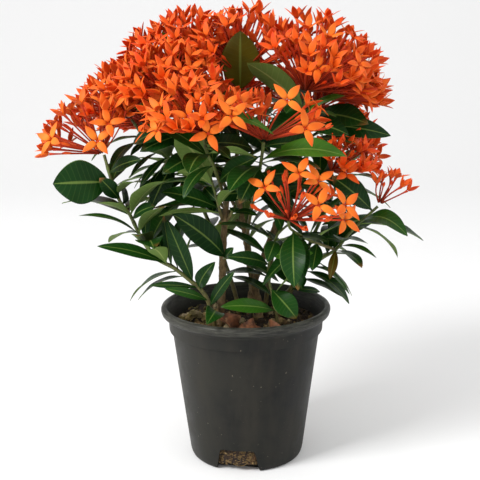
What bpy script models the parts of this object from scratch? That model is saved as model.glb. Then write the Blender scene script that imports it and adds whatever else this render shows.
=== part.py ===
"""A flowering ixora in a black nursery pot, at its real size, in metres, standing on the plane z = 0.

The pot, the soil, three woody stems, the green leafy shoots, the flower heads and the dry leaves on the
soil are separate closed solids. -Y is the side that faces the viewer, and +Z is up.
Places and sizes in the tables are in millimetres, and MM turns them into metres.
"""
import math

import bmesh
import bpy
import numpy as np
from mathutils import Matrix, Vector
from mathutils.bvhtree import BVHTree

MM = 0.001
GAP = 0.3                       # clear space between two pieces that touch, mm

# Pot, mm
POT_HEIGHT = 152.0
RIM_RADIUS = 82.5
RIM_INNER_RADIUS = 77.0
NECK_RADIUS = 73.5              # outside of the wall just under the rolled rim
FOOT_RADIUS = 55.5
WALL = 1.8
FLOOR = 2.5                     # thickness of the pot's flat floor
POT_STEPS = 36
NOTCH_ANGLES = (-99.6, 20.4, 140.4)
NOTCH_WIDTH = 33.0              # across the top; the notch is wider at its foot
NOTCH_FOOT_WIDTH = 42.0
NOTCH_TOP = 23.0
NOTCH_REACH = 42.0              # from the pot's axis to the back of a notch, where it ends in the floor

# Soil, mm
SOIL_LEVEL = 134.0
SOIL_RELIEF = 2.5
SOIL_STEPS = 24
HOLE_DEPTH = 12.3

# Woody stems: the points of each stem's middle line, and its radius at the foot and at the top
WOOD = {
    "stem_left": ([(-23, -28, 122), (-23, -28, 163), (-22, -28, 183), (-21, -28, 212), (-19, -28, 238),
                   (-17, -28, 261)], 4.4, 2.9),
    "stem_middle": ([(13, 0, 122), (13, 0, 150), (8, 0, 170), (4, 2, 190), (1, 5, 214), (-5, 8, 248),
                     (-8, 10, 281)], 3.8, 2.4),
    "stem_right": ([(5, 13, 122), (5, 13, 151), (10, 13, 172), (16, 13, 190), (26, 15, 216), (39, 20, 250),
                    (49, 20, 284)], 3.8, 2.4),
}

# Flower heads: the point where the head is carried, the way it faces, the reach from that point to the
# mouths of its tubes, the widest angle of a tube from the way it faces, and the number of florets tried
HEADS = {
    "a": ((-129, -22, 301), (-0.62, -0.32, 0.75), 52, 74, 15),
    "b": ((-107, 15, 330), (-0.42, -0.10, 0.90), 47, 76, 12),
    "c": ((-56, 45, 367), (-0.22, 0.05, 1.00), 52, 76, 13),
    "d": ((-4, 25, 368), (0.00, -0.05, 1.00), 52, 74, 13),
    "e": ((57, 0, 354), (0.22, -0.20, 1.00), 56, 76, 16),
    "f": ((76, 35, 345), (0.85, 0.05, 0.55), 54, 64, 12),
    "g": ((-36, -70, 324), (-0.18, -0.30, 1.00), 48, 80, 16),
    "h": ((16, -72, 317), (0.25, -0.30, 1.00), 52, 80, 16),
    "j": ((81, 5, 279), (0.62, -0.45, 0.55), 38, 58, 9),
    "k": ((37, -85, 250), (0.42, -0.50, 0.75), 42, 76, 12),
    "l": ((125, -12, 249), (0.45, -0.20, 1.00), 30, 38, 4),
    "m": ((-68, -20, 349), (-0.22, -0.28, 1.00), 46, 76, 13),
    "n": ((-95, 78, 318), (-0.55, 0.60, 0.75), 46, 82, 10),
    "p": ((-15, 98, 340), (0.00, 0.60, 0.95), 46, 82, 10),
    "q": ((70, 92, 328), (0.40, 0.60, 0.85), 46, 82, 10),
    "r": ((112, 62, 285), (0.75, 0.45, 0.60), 42, 74, 9),
}
CORE_RADIUS = 9.0
TUBE_MOUTH = 1.5
PETAL_LENGTH = 14.5
PETAL_HALF_WIDTH = 4.0
GOLDEN_ANGLE = math.radians(137.508)
FLORET_CLEARANCE = 3.6
FLORET_SPACING = 13.0
FLORET_TRIES = [(aside, size) for size in (1.0, 0.88, 0.76) for aside in (0, 10, -10, 20, -20)]

# Green shoots: the points of the middle line, the radius at the foot and at the tip, and the head at the tip
SHOOTS = {
    "a": ([(-30, -38, 122), (-30, -38, 146), (-38, -40, 172), (-52, -42, 187), (-68, -42, 200),
           (-81, -42, 207), (-94, -40, 224), (-106, -35, 248), (-114, -32, 258), (-122, -28, 277)], 2.4, 1.5, "a"),
    "b": ([(-4.1, 10.5, 228), (-38, 18, 262), (-72, 20, 290), (-95, 18, 312)], 2.0, 1.5, "b"),
    "c": ([(-9, 14, 270), (-31, 30, 318), (-48, 42, 346)], 1.9, 1.5, "c"),
    "d": ([(-8, 10, 281.7), (-6, 18, 320), (-4, 24, 348)], 1.9, 1.5, "d"),
    "e": ([(49, 20, 285.0), (54, 10, 315), (56, 3, 335)], 1.9, 1.5, "e"),
    "f": ([(48.7, 23.6, 270), (57, 31, 298), (67, 35, 328)], 1.9, 1.5, "f"),
    "g": ([(-17.9, -33.0, 254), (-22, -42, 275), (-28, -58, 295), (-33, -66, 308)], 1.9, 1.5, "g"),
    "h": ([(1, 0, 216), (6, -20, 250), (11, -50, 280), (14, -66, 300)], 1.9, 1.5, "h"),
    "j": ([(42, 16, 250), (55, 13, 262), (70, 9, 272)], 1.8, 1.4, "j"),
    "k": ([(84.5, -12.5, 208), (61, -40, 222), (46, -65, 235), (38.5, -79, 243)], 1.4, 1.2, "k"),
    "l": ([(34, 15, 122), (34, 15, 146), (44, 8, 164), (54, 0, 182), (71, -8, 197), (86, -10, 207),
           (96, -12, 220), (108, -12, 233)], 2.2, 1.4, "l"),
    "m": ([(-10.4, 8, 248), (-28, 0, 286), (-50, -15, 320), (-62, -19, 334)], 1.9, 1.5, "m"),
    "n": ([(-8, 20, 122), (-8, 20, 146), (-22, 30, 190), (-48, 48, 250), (-78, 66, 296)], 2.4, 1.6, "n"),
    "p": ([(6, 29, 122), (6, 29, 146), (4, 42, 200), (-4, 66, 270), (-12, 86, 318)], 2.4, 1.6, "p"),
    "q": ([(21, 33, 122), (21, 33, 146), (30, 46, 200), (46, 66, 260), (60, 80, 304)], 2.4, 1.6, "q"),
    "r": ([(43, 25, 122), (43, 25, 146), (60, 36, 190), (82, 48, 236), (98, 55, 268)], 2.3, 1.5, "r"),
    "top_left": ([(-21.4, -32.1, 242), (-25, -41, 259), (-30, -46, 280)], 1.6, 1.0, None),
    "top_right": ([(-15.4, -31.5, 242), (-10, -37, 254), (-6, -42, 266)], 1.6, 1.0, None),
    "low_left": ([(-20.3, -32, 205), (-17, -40, 207)], 1.6, 1.2, None),
    "front": ([(29, -32, 122), (29, -32, 146), (24, -28, 173), (21, -28, 187), (23, -32, 205), (28, -42, 226),
               (33, -52, 237)], 1.8, 1.1, None),
}

# Leaves that the viewer sees: shoot, share of the shoot's length, tip, width, the angle of the blade's
# upper side from straight up towards the viewer, and the rise of its back as a share of its length
LEAVES = [
    ("a", 0.88, (-172, -48, 279), 40, 75, 0.05), ("a", 0.80, (-133, -36, 282), 15, 60, 0.10),
    ("a", 0.77, (-111, -10, 275), 16, -50, 0.05), ("a", 0.75, (-87, -30, 263), 9, -40, 0.05),
    ("a", 0.62, (-149, -55, 251), 10, 12, 0.12), ("a", 0.58, (-90, -30, 257), 9, 60, 0.05),
    ("a", 0.45, (-136, -60, 218), 14, 40, 0.08), ("a", 0.43, (-74, -48, 249), 8, 60, 0.05),
    ("a", 0.31, (-70, -56, 246), 16, 70, 0.06), ("a", 0.28, (-85, -60, 189), 7, 60, 0.10),
    ("a", 0.21, (-67, -66, 191), 9, 60, 0.10), ("a", 0.13, (-38, -88, 153), 18, 70, 0.18),
    ("a", 0.27, (-28, -50, 206), 14, 50, 0.30), ("a", 0.18, (-15, -64, 198), 11, 55, 0.10),
    ("a", 0.56, (-85, -52, 233), 6, -30, 0.00),
    ("top_left", 0.97, (-60, -55, 323), 34, -50, 0.10), ("top_left", 0.88, (-59, -66, 292), 20, -40, 0.10),
    ("top_left", 0.30, (-70, -60, 277), 20, 45, 0.08), ("top_left", 0.18, (-67, -78, 265), 10, -50, 0.05),
    ("top_left", 0.50, (-36, -30, 275), 12, 80, 0.05),
    ("top_right", 0.25, (11, -50, 249), 9, 30, 0.10), ("top_right", 0.45, (-3, -52, 249), 9, -20, 0.10),
    ("top_right", 0.95, (12, -50, 283), 20, 60, 0.05), ("top_right", 0.85, (-6, -48, 301), 20, 70, 0.05),
    ("low_left", 0.60, (-64, -72, 255), 26, 55, 0.10), ("low_left", 0.70, (-10, -52, 221), 10, 60, 0.10),
    ("front", 0.25, (-18, -62, 171), 15, 50, 0.10), ("front", 0.42, (47, -46, 150), 30, 60, 0.10),
    ("front", 0.62, (-16, -58, 213), 14, 60, 0.12), ("front", 0.70, (56, -62, 223), 15, 60, 0.05),
    ("front", 0.84, (19, -64, 209), 14, 70, 0.20), ("front", 0.97, (25, -70, 255), 10, 60, 0.10),
    ("l", 0.42, (61, -5, 218), 12, 70, 0.05), ("l", 0.38, (53, -25, 173), 12, 60, 0.10),
    ("l", 0.53, (97, -35, 174), 8, 0, 0.05), ("l", 0.68, (122, -30, 204), 7, 20, 0.15),
    ("l", 0.66, (79, -28, 183), 9, 60, 0.10), ("l", 0.71, (74, -24, 221), 9, 40, 0.10),
    ("l", 0.85, (152, -40, 231), 24, 25, 0.25), ("l", 0.84, (70, -45, 239), 10, 30, 0.10),
    ("l", 0.98, (160, -10, 266), 12, -20, -0.10), ("l", 0.96, (100, 5, 288), 24, 60, 0.08),
    ("l", 0.27, (74, 20, 147), 7, 60, 0.10), ("l", 0.30, (30, 28, 186), 16, 60, 0.10),
    ("g", 0.86, (23, -100, 328), 17, 20, 0.30), ("g", 0.78, (9, -92, 307), 14, -40, 0.08),
    ("g", 0.72, (-82, -60, 334), 16, 40, 0.10),
    ("h", 0.86, (84, -100, 308), 28, 30, 0.12), ("h", 0.80, (-5, -84, 266), 18, 60, 0.10),
    ("h", 0.76, (39, -74, 262), 20, 60, 0.10),
    ("e", 0.80, (21, -25, 398), 22, -35, 0.05), ("e", 0.70, (87, -18, 358), 13, 30, 0.10),
    ("d", 0.85, (-3, 0, 411), 28, 60, 0.05), ("c", 0.90, (-75, 15, 411), 14, 50, 0.05),
    ("m", 0.90, (-97, -38, 362), 18, 60, 0.08),
    ("b", 0.83, (-107, -5, 298), 7, 30, 0.05), ("b", 0.72, (-109, 0, 276), 8, 10, 0.10),
    ("b", 0.66, (-98, -5, 263), 9, 30, 0.10), ("b", 0.54, (-111, -5, 244), 10, 20, 0.12),
    ("b", 0.45, (-101, 5, 227), 12, 30, 0.20), ("b", 0.60, (-88, -8, 251), 22, 60, 0.10),
    ("f", 0.80, (122, 12, 337), 28, 50, 0.10), ("f", 0.86, (165, 22, 339), 18, 40, 0.10),
    ("f", 0.66, (138, 8, 329), 22, 60, 0.10),
    ("j", 0.92, (144, -5, 302), 22, 50, 0.12), ("j", 0.80, (101, -8, 257), 9, 40, 0.10),
]
LEAF_THICKNESS = 0.7
LEAF_FOLD = 0.22                # rise of the blade's edges over its midrib, as a share of its half width
ROWS_LONG = (0.0, 0.28, 0.56, 0.82, 1.0)
ROWS_SHORT = (0.0, 0.35, 0.70, 1.0)
SHORT_LEAF = 72.0
# Pairs of leaves along the upper part of each shoot that carries a head, each pair square to the last one
PAIR_SPACING = 35.0
PAIR_START = 0.30
PAIR_LENGTH = (56.0, 76.0)
LEAF_CLEARANCE = 4.8            # least distance kept between the middle points of two blades, mm
TRIES = [(turn, lift, size) for size in (1.0, 0.88, 0.76, 0.64) for turn in (0, 9, -9, 18, -18, 28, -28)
         for lift in (0, 9, -9)]

# Dry leaves that lie on the soil against the rim: base, tip, width and upper side
LITTER = [
    ((-8, -44, 151), (-26, -58, 176), 17, (0.3, -0.7, 0.6)), ((16, -46, 153), (-8, -66, 167), 15, (0, -0.4, 0.9)),
    ((20, -44, 153), (29, -61, 168), 12, (-0.3, -0.5, 0.8)),
]

COLOURS = {                     # linear red, green, blue, and roughness
    "black_plastic": ((0.035, 0.036, 0.035), 0.55),
    "soil": ((0.045, 0.026, 0.014), 0.95),
    "bark": ((0.16, 0.09, 0.045), 0.85),
    "leaf": ((0.03, 0.12, 0.02), 0.40),
    "flower": ((0.85, 0.12, 0.015), 0.55),
    "dry_leaf": ((0.25, 0.09, 0.035), 0.80),
}


def clear_scene():
    for thing in list(bpy.data.objects):
        bpy.data.objects.remove(thing, do_unlink=True)


def collection(name):
    made = bpy.data.collections.new(name)
    bpy.context.scene.collection.children.link(made)
    return made


def material(name):
    colour, roughness = COLOURS[name]
    made = bpy.data.materials.get(name) or bpy.data.materials.new(name)
    made.use_nodes = True
    shader = made.node_tree.nodes["Principled BSDF"]
    shader.inputs["Base Color"].default_value = (*colour, 1.0)
    shader.inputs["Roughness"].default_value = roughness
    shader.inputs["Metallic"].default_value = 0.0
    return made


def new_object(name, mesh, group):
    made = bpy.data.objects.new(name, mesh)
    group.objects.link(made)
    return made


def mesh_of(name, bm):
    """A mesh from a bmesh, with its faces pointing out."""
    bm.normal_update()
    bmesh.ops.recalc_face_normals(bm, faces=bm.faces)
    mesh = bpy.data.meshes.new(name)
    bm.to_mesh(mesh)
    bm.free()
    return mesh


def applied(thing, weld=0.00001):
    """Turns a curve, or a mesh with modifiers, into a plain welded mesh object of the same name."""
    bpy.context.view_layer.update()
    graph = bpy.context.evaluated_depsgraph_get()
    mesh = bpy.data.meshes.new_from_object(thing.evaluated_get(graph))
    bm = bmesh.new()
    bm.from_mesh(mesh)
    bm.transform(thing.matrix_world)
    bmesh.ops.remove_doubles(bm, verts=bm.verts, dist=weld)
    bm.to_mesh(mesh)
    bm.free()
    name, group = thing.name, thing.users_collection[0]
    bpy.data.objects.remove(thing, do_unlink=True)
    return new_object(name, mesh, group)


def emptied(group):
    for thing in list(group.objects):
        bpy.data.objects.remove(thing, do_unlink=True)
    bpy.data.collections.remove(group)


def joined(target, others):
    """Joins target with every object of the collection others into one body, and removes them."""
    step = target.modifiers.new("join", "BOOLEAN")
    step.operation = "UNION"
    step.solver = "MANIFOLD"
    step.operand_type = "COLLECTION"
    step.collection = others
    made = applied(target, weld=0.000001)
    emptied(others)
    return made


def cut(target, cutters):
    """Cuts each object of the collection cutters out of target, and removes them."""
    for cutter in cutters.objects:
        step = target.modifiers.new("cut", "BOOLEAN")
        step.operation = "DIFFERENCE"
        step.solver = "EXACT"
        step.object = cutter
    made = applied(target, weld=0.000001)
    emptied(cutters)
    return made


def unit(v):
    v = np.asarray(v, float)
    return v / np.linalg.norm(v)


def smooth_route(points, spacing):
    """Points about spacing apart on a Catmull-Rom curve through the given points."""
    p = np.asarray(points, float)
    p = np.vstack([2 * p[0] - p[1], p, 2 * p[-1] - p[-2]])
    out = []
    for a, b, c, d in zip(p[:-3], p[1:-2], p[2:-1], p[3:]):
        steps = max(1, round(np.linalg.norm(c - b) / spacing))
        t = np.arange(steps)[:, None] / steps
        out.append(0.5 * (2 * b + (c - a) * t + (2 * a - 5 * b + 4 * c - d) * t ** 2
                          + (3 * b - a - 3 * c + d) * t ** 3))
    out.append(p[-2][None])
    return np.vstack(out)


def shoot_route(name):
    """The shoot's points, ending just under the head that it carries."""
    points, _, _, head = SHOOTS[name]
    points = list(points)
    if head:
        base, way = np.array(HEADS[head][0], float), unit(HEADS[head][1])
        points.append(tuple(base - way * 0.05))
    return smooth_route(points, 6.0)


def share_point(route, share):
    """The point at that share of a route's length, and the way the route runs there."""
    steps = np.linalg.norm(np.diff(route, axis=0), axis=1)
    along = np.concatenate([[0], np.cumsum(steps)])
    at = share * along[-1]
    i = min(int(np.searchsorted(along, at, side="right")) - 1, len(steps) - 1)
    part = (at - along[i]) / steps[i]
    return route[i] * (1 - part) + route[i + 1] * part, unit(route[i + 1] - route[i])


def blade(leaf, u, s):
    """Points of a leaf's middle surface at shares u along it and s across it, from -1 to 1.

    The outline is widest just past the middle and runs out to a point. The midrib rises over the straight
    line from base to tip as a parabola, and the two halves of the blade rise from it as a shallow V."""
    base, tip = leaf["base"], leaf["tip"]
    length = np.linalg.norm(tip - base)
    ahead = (tip - base) / length
    up = leaf["up"] - ahead * (leaf["up"] @ ahead)
    up = up / np.linalg.norm(up)
    across = np.cross(ahead, up)
    half = 0.5 * leaf["width"] * np.sin(math.pi * u ** 1.15) ** 0.8
    rise = leaf["arch"] * length * 4 * u * (1 - u) + LEAF_FOLD * half * np.abs(s)
    return (base + np.multiply.outer(u * length, ahead) + np.multiply.outer(rise, up)
            + np.multiply.outer(s * half, across))


def blade_points(leaf, along=10, across=5):
    """A net of points on the blade, which stands for it when pieces are kept clear of each other."""
    u, s = np.meshgrid(np.linspace(0.2, 1.0, along), np.linspace(-0.95, 0.95, across), indexing="ij")
    return blade(leaf, u.ravel(), s.ravel())


def turned(v, axis, degrees):
    return np.array(Matrix.Rotation(math.radians(degrees), 3, Vector(axis)) @ Vector(v))


def core_of(head):
    """Middle and radius of the knot of stalks at the foot of a head."""
    base, way, reach, _, _ = HEADS[head]
    radius = CORE_RADIUS * min(1.0, reach / 46)
    return np.array(base, float) + unit(way) * (radius + GAP), radius


def near_a_core(points, clearance, but=None):
    """True if any of the points lies within the clearance of a head's knot of stalks."""
    for head in HEADS:
        middle, radius = core_of(head)
        if head != but and np.linalg.norm(points - middle, axis=1).min() < radius + clearance:
            return True
    return False


def over_the_rim(points):
    """True if the points stay clear of the pot and of the soil."""
    radius = np.linalg.norm(points[:, :2], axis=1)
    at_rim = (radius > RIM_INNER_RADIUS - 9) & (radius < RIM_RADIUS + 8)
    return (points[at_rim, 2] > POT_HEIGHT + 3.5).all() and (points[radius < 80, 2] > SOIL_LEVEL + 7).all()


def in_a_head(points, margin=-6.0):
    """True if any of the points lies among the florets of a head."""
    for base, way, reach, _, _ in HEADS.values():
        off = points - np.array(base, float)
        if ((np.linalg.norm(off, axis=1) < reach + margin) & (off @ unit(way) > -4.0)).any():
            return True
    return False


def settled(leaf, taken, keep_out):
    """The leaf as given or, where it would touch what is there, the first of its small turns and cuts
    that stays clear. None if none does."""
    reach = leaf["tip"] - leaf["base"]
    side = unit(np.cross(reach, leaf["up"]))
    for turn, lift, size in TRIES:
        way = turned(turned(reach, leaf["up"], turn), side, lift) * size
        tried = dict(leaf, tip=leaf["base"] + way, width=leaf["width"] * size)
        points = blade_points(tried)
        if not over_the_rim(points) or near_a_core(points, 2.5) or (keep_out and in_a_head(points)):
            continue
        near = taken[np.linalg.norm(taken - leaf["base"], axis=1) > 9.0]
        gaps = np.linalg.norm(points[:, None] - near[None], axis=2)
        if gaps.min() > LEAF_CLEARANCE:
            return tried
    return None


def pair_leaves(name, seed):
    """Leaves in opposite pairs up a shoot, each pair turned a quarter from the last."""
    draw = np.random.default_rng(seed)
    route = shoot_route(name)
    length = np.linalg.norm(np.diff(route, axis=0), axis=1).sum()
    start = 0.0 if length < 90 else PAIR_START
    count = max(2, round(length * (0.94 - start) / PAIR_SPACING))
    made = []
    for i in range(count):
        share = start + (0.94 - start) * (i + 0.6) / count
        point, way = share_point(route, share)
        first = unit(np.cross(way, (0.3, 1.0, 0.1)))
        for half in (0, 180):
            out = turned(first, way, 90 * i + half + draw.uniform(-20, 20))
            ahead = unit(out + 0.35 * way + np.array([0, 0, draw.uniform(-0.15, 0.3)]))
            size = draw.uniform(*PAIR_LENGTH)
            made.append({"shoot": name, "base": point, "tip": point + ahead * size,
                         "width": size * draw.uniform(0.34, 0.42), "up": np.array([0.0, 0.0, 1.0]) + 0.3 * way,
                         "arch": draw.uniform(0.04, 0.12)})
    return made


def leaf_plan():
    """Every leaf of the plant, in the order in which they take their places."""
    routes = {name: shoot_route(name) for name in SHOOTS}
    taken = np.vstack([smooth_route(points, 4.0) for points, _, _ in WOOD.values()]
                      + [smooth_route(route, 4.0) for route in routes.values()])
    wanted = []
    for name, share, tip, width, face, arch in LEAVES:
        point, _ = share_point(routes[name], share)
        angle = math.radians(face)
        wanted.append(({"shoot": name, "base": point, "tip": np.array(tip, float), "width": width,
                        "up": np.array([0.02, -math.sin(angle), math.cos(angle)]), "arch": arch}, False))
    wanted.sort(key=lambda pair: -pair[0]["width"])
    for seed, name in enumerate(SHOOTS):
        if SHOOTS[name][3]:
            wanted += [(leaf, True) for leaf in pair_leaves(name, seed)]
    plan = []
    for leaf, keep_out in wanted:
        found = settled(leaf, taken, keep_out)
        if found:
            plan.append(found)
            taken = np.vstack([taken, blade_points(found)])
    solid = [smooth_route(points, 2.5) for points, _, _ in WOOD.values()]
    solid += [smooth_route(route, 2.5) for route in routes.values()]
    return plan, np.vstack(solid + [blade_points(leaf, 16, 5) for leaf in plan])


def tube(name, points, radii, group, resolution=1):
    """A round tapering stem with flat ends."""
    curve = bpy.data.curves.new(name, "CURVE")
    curve.dimensions = "3D"
    curve.bevel_depth = MM
    curve.bevel_resolution = resolution
    curve.use_fill_caps = True
    line = curve.splines.new("POLY")
    line.points.add(len(points) - 1)
    for spot, point, radius in zip(line.points, points, radii):
        spot.co = (*(np.asarray(point) * MM), 1.0)
        spot.radius = radius
    return applied(new_object(name, curve, group))


def leaf_object(name, leaf, group):
    """One blade of even thickness: a strip of triangles, the same on both faces, made thick by Solidify."""
    length = np.linalg.norm(leaf["tip"] - leaf["base"])
    rows = ROWS_SHORT if length < SHORT_LEAF else ROWS_LONG
    bm = bmesh.new()
    bmesh.ops.create_grid(bm, x_segments=2, y_segments=len(rows) - 1, size=1.0)
    grid = sorted(bm.verts, key=lambda v: (round(v.co.y, 4), round(v.co.x, 4)))
    u = np.repeat(rows, 3)
    s = np.tile((-1.0, 0.0, 1.0), len(rows))
    for vert, place in zip(grid, blade(leaf, u, s)):
        vert.co = Vector(place * MM)
    bmesh.ops.remove_doubles(bm, verts=bm.verts, dist=0.00002)
    bmesh.ops.triangulate(bm, faces=bm.faces)
    made = new_object(name, mesh_of(name, bm), group)
    thick = made.modifiers.new("thickness", "SOLIDIFY")
    thick.thickness = LEAF_THICKNESS * MM
    thick.offset = 0.0
    return applied(made)


def floret_spots(root, mouth, opening, twist):
    """Corners of a tapering four-sided tube that opens into four keeled, pointed petals: the root, the
    throat, the four corners of the mouth, and a shoulder, the tip and the other shoulder of each petal."""
    ahead = unit(mouth - root)
    e1 = unit(np.cross(ahead, (0.31, 0.17, 0.93) if abs(ahead[2]) < 0.9 else (0.9, 0.3, 0.1)))
    e2 = np.cross(ahead, e1)
    lean = math.radians(opening)

    def around(degrees):
        a = math.radians(degrees + twist)
        return e1 * math.cos(a) + e2 * math.sin(a)

    spots = [root, mouth + ahead * 1.3]
    spots += [mouth + around(90 * k - 45) * TUBE_MOUTH for k in range(4)]
    for k in range(4):
        out = around(90 * k)
        along = ahead * math.cos(lean) + out * math.sin(lean)
        under = out * math.cos(lean) - ahead * math.sin(lean)
        side = np.cross(ahead, out) * PETAL_HALF_WIDTH
        shoulder = mouth + along * PETAL_LENGTH * 0.52 + under * 0.9
        spots += [shoulder - side, mouth + along * PETAL_LENGTH, shoulder + side]
    return np.array(spots)


def floret_mesh(name, spots):
    """The closed skin over a floret's corners. Each petal is a thin wedge between the ridge from the throat
    to its tip and the line between its two shoulders."""
    faces = []
    for k in range(4):
        low, high = 2 + k, 2 + (k + 1) % 4
        left, tip, right = 6 + 3 * k, 7 + 3 * k, 8 + 3 * k
        faces += [(0, high, low), (low, high, right), (low, right, left), (left, right, tip),
                  (1, low, left), (1, left, tip), (1, tip, right), (1, right, high)]
    bm = bmesh.new()
    corners = [bm.verts.new(Vector(spot * MM)) for spot in spots]
    for face in faces:
        bm.faces.new([corners[i] for i in face])
    return mesh_of(name, bm)


def floret_points(spots):
    """Points along a floret's tube and over its petals, for keeping it clear of its neighbours."""
    root, mouth = spots[0], spots[2:6].mean(axis=0)
    tube_points = root + (mouth - root) * np.linspace(0.3, 1.0, 12)[:, None]
    left, tip, right = spots[6::3], spots[7::3], spots[8::3]
    edges = [left, tip, right, (left + tip) / 2, (right + tip) / 2, (left + mouth) / 2, (right + mouth) / 2]
    return np.vstack([tube_points] + edges)


def head_plan(name, taken, seed):
    """The florets of one head, spread over a cap by the golden angle. One that would touch a leaf or another
    head leans aside or stays shorter, and is left out if that isn't enough."""
    base, way, reach, spread, count = HEADS[name]
    base, way = np.array(base, float), unit(way)
    draw = np.random.default_rng(seed)
    e1 = unit(np.cross(way, (0.2, 0.9, 0.3)))
    e2 = np.cross(way, e1)
    middle, _ = core_of(name)
    made = []
    mouths = np.zeros((0, 3))
    for i in range(count):
        cos_lean = 1 - (i + 0.5) / count * (1 - math.cos(math.radians(spread)))
        length, opening, twist = reach * draw.uniform(0.93, 1.05), draw.uniform(42, 62), draw.uniform(0, 90)
        for aside, size in FLORET_TRIES:
            lean, turn = math.acos(cos_lean) - math.radians(abs(aside) / 2), i * GOLDEN_ANGLE + seed
            turn += math.radians(aside) / max(0.35, math.sin(abs(lean)))
            ahead = way * math.cos(lean) + (e1 * math.cos(turn) + e2 * math.sin(turn)) * math.sin(lean)
            mouth = base + ahead * length * size
            spots = floret_spots(middle + ahead, mouth, opening, twist)
            points = floret_points(spots)
            clear = np.linalg.norm(points[:, None] - taken[None], axis=2).min() > FLORET_CLEARANCE
            apart = len(mouths) == 0 or np.linalg.norm(mouths - mouth, axis=1).min() > FLORET_SPACING
            if clear and apart and over_the_rim(points) and not near_a_core(points, 1.5, name):
                made.append(spots)
                mouths = np.vstack([mouths, mouth])
                break
    return made


def core_object(name, head, group):
    """The knot of short flower stalks at the foot of a head."""
    middle, radius = core_of(head)
    bm = bmesh.new()
    bmesh.ops.create_icosphere(bm, subdivisions=1, radius=radius * MM)
    turn = Vector((0, 0, 1)).rotation_difference(Vector(HEADS[head][1])).to_matrix().to_4x4()
    bm.transform(Matrix.Translation(Vector(middle * MM)) @ turn)
    return new_object(name, mesh_of(name, bm), group)


def dressed(thing, colour):
    thing.data.materials.clear()
    thing.data.materials.append(material(colour))
    return thing


def turned_solid(name, profile, steps, group):
    """A profile of (radius, height) points, run from the axis over the top and down the outside, turned
    round the Z axis."""
    bm = bmesh.new()
    spots = [bm.verts.new((radius * MM, 0, height * MM)) for radius, height in profile]
    for a, b in zip(spots, spots[1:]):
        bm.edges.new((a, b))
    mesh = bpy.data.meshes.new(name)
    bm.to_mesh(mesh)
    bm.free()
    made = new_object(name, mesh, group)
    turn = made.modifiers.new("turn", "SCREW")
    turn.steps = turn.render_steps = steps
    turn.use_merge_vertices = True
    turn.merge_threshold = 0.00001
    return made


def wall_radius(height):
    """Outside radius of the pot's tapering wall at a height, mm."""
    return FOOT_RADIUS + (NECK_RADIUS - FOOT_RADIUS) * height / (POT_HEIGHT - 12)


def pot(group):
    """A thin tapering wall on a raised floor, a band under the rim and a rolled rim. Three notches in the
    foot let water out."""
    neck = POT_HEIGHT - 12
    profile = [
        (0, FLOOR), (wall_radius(FLOOR) - WALL - 1.5, FLOOR), (wall_radius(5) - WALL, 5),
        (NECK_RADIUS - WALL, neck), (RIM_INNER_RADIUS - 1.0, POT_HEIGHT - 4), (RIM_INNER_RADIUS, POT_HEIGHT - 0.8),
        (RIM_INNER_RADIUS + 2.0, POT_HEIGHT), (RIM_RADIUS - 1.5, POT_HEIGHT - 0.8), (RIM_RADIUS, POT_HEIGHT - 4),
        (RIM_RADIUS - 0.8, POT_HEIGHT - 8), (NECK_RADIUS + 2.0, neck), (NECK_RADIUS + 1.2, neck - 12),
        (wall_radius(neck - 13), neck - 13), (wall_radius(4), 4), (wall_radius(1), 1), (FOOT_RADIUS - 2.0, 0), (0, 0),
    ]
    body = applied(turned_solid("pot", profile, POT_STEPS, group))
    cutters = collection("notches")
    for angle in NOTCH_ANGLES:
        bm = bmesh.new()
        bmesh.ops.create_cube(bm, size=1.0)
        for vert in bm.verts:
            low = vert.co.z < 0
            width = NOTCH_FOOT_WIDTH if low else NOTCH_WIDTH
            reach = NOTCH_REACH if vert.co.x < 0 else FOOT_RADIUS + 10
            vert.co = Vector((reach, vert.co.y * width, -1 if low else NOTCH_TOP)) * MM
        bm.transform(Matrix.Rotation(math.radians(angle), 4, "Z"))
        new_object("notch", mesh_of("notch", bm), cutters)
    return dressed(cut(body, cutters), "black_plastic")


def soil(group, feet):
    """Potting soil that fills the pot, with a bumpy top and a plain hole for each stem's foot."""
    low = FLOOR + GAP
    top = wall_radius(SOIL_LEVEL) - WALL - 2 * GAP
    rings = [top * part for part in (0.25, 0.5, 0.75)]
    profile = ([(0, SOIL_LEVEL)] + [(radius, SOIL_LEVEL) for radius in rings]
               + [(top, SOIL_LEVEL), (wall_radius(7) - WALL - 2 * GAP, 7), (NOTCH_REACH - 1, low), (0, low)])
    made = applied(turned_solid("soil", profile, SOIL_STEPS, group))
    bm = bmesh.new()
    bm.from_mesh(made.data)
    for vert in bm.verts:
        x, y, z = vert.co / MM
        if z > SOIL_LEVEL - 1 and math.hypot(x, y) < top - 1:
            bump = math.sin(x / 9.0 + 1.0) * math.cos(y / 7.0) + 0.6 * math.sin((x + y) / 4.3)
            vert.co.z += bump * SOIL_RELIEF * MM
    bmesh.ops.triangulate(bm, faces=bm.faces)
    bm.to_mesh(made.data)
    bm.free()
    cutters = collection("holes")
    for x, y, radius in feet:
        bm = bmesh.new()
        bmesh.ops.create_cone(bm, segments=8, radius1=(radius + 1.6) * MM, radius2=(radius + 1.6) * MM,
                              depth=40 * MM, cap_ends=True)
        bm.transform(Matrix.Translation(Vector((x, y, SOIL_LEVEL - HOLE_DEPTH + 20)) * MM))
        new_object("hole", mesh_of("hole", bm), cutters)
    return dressed(cut(made, cutters), "soil")


def woody_stem(name, group):
    points, foot, tip = WOOD[name]
    route = smooth_route(points, 14.0)
    return dressed(tube(name, route, np.linspace(foot, tip, len(route)), group, resolution=2), "bark")


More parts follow.
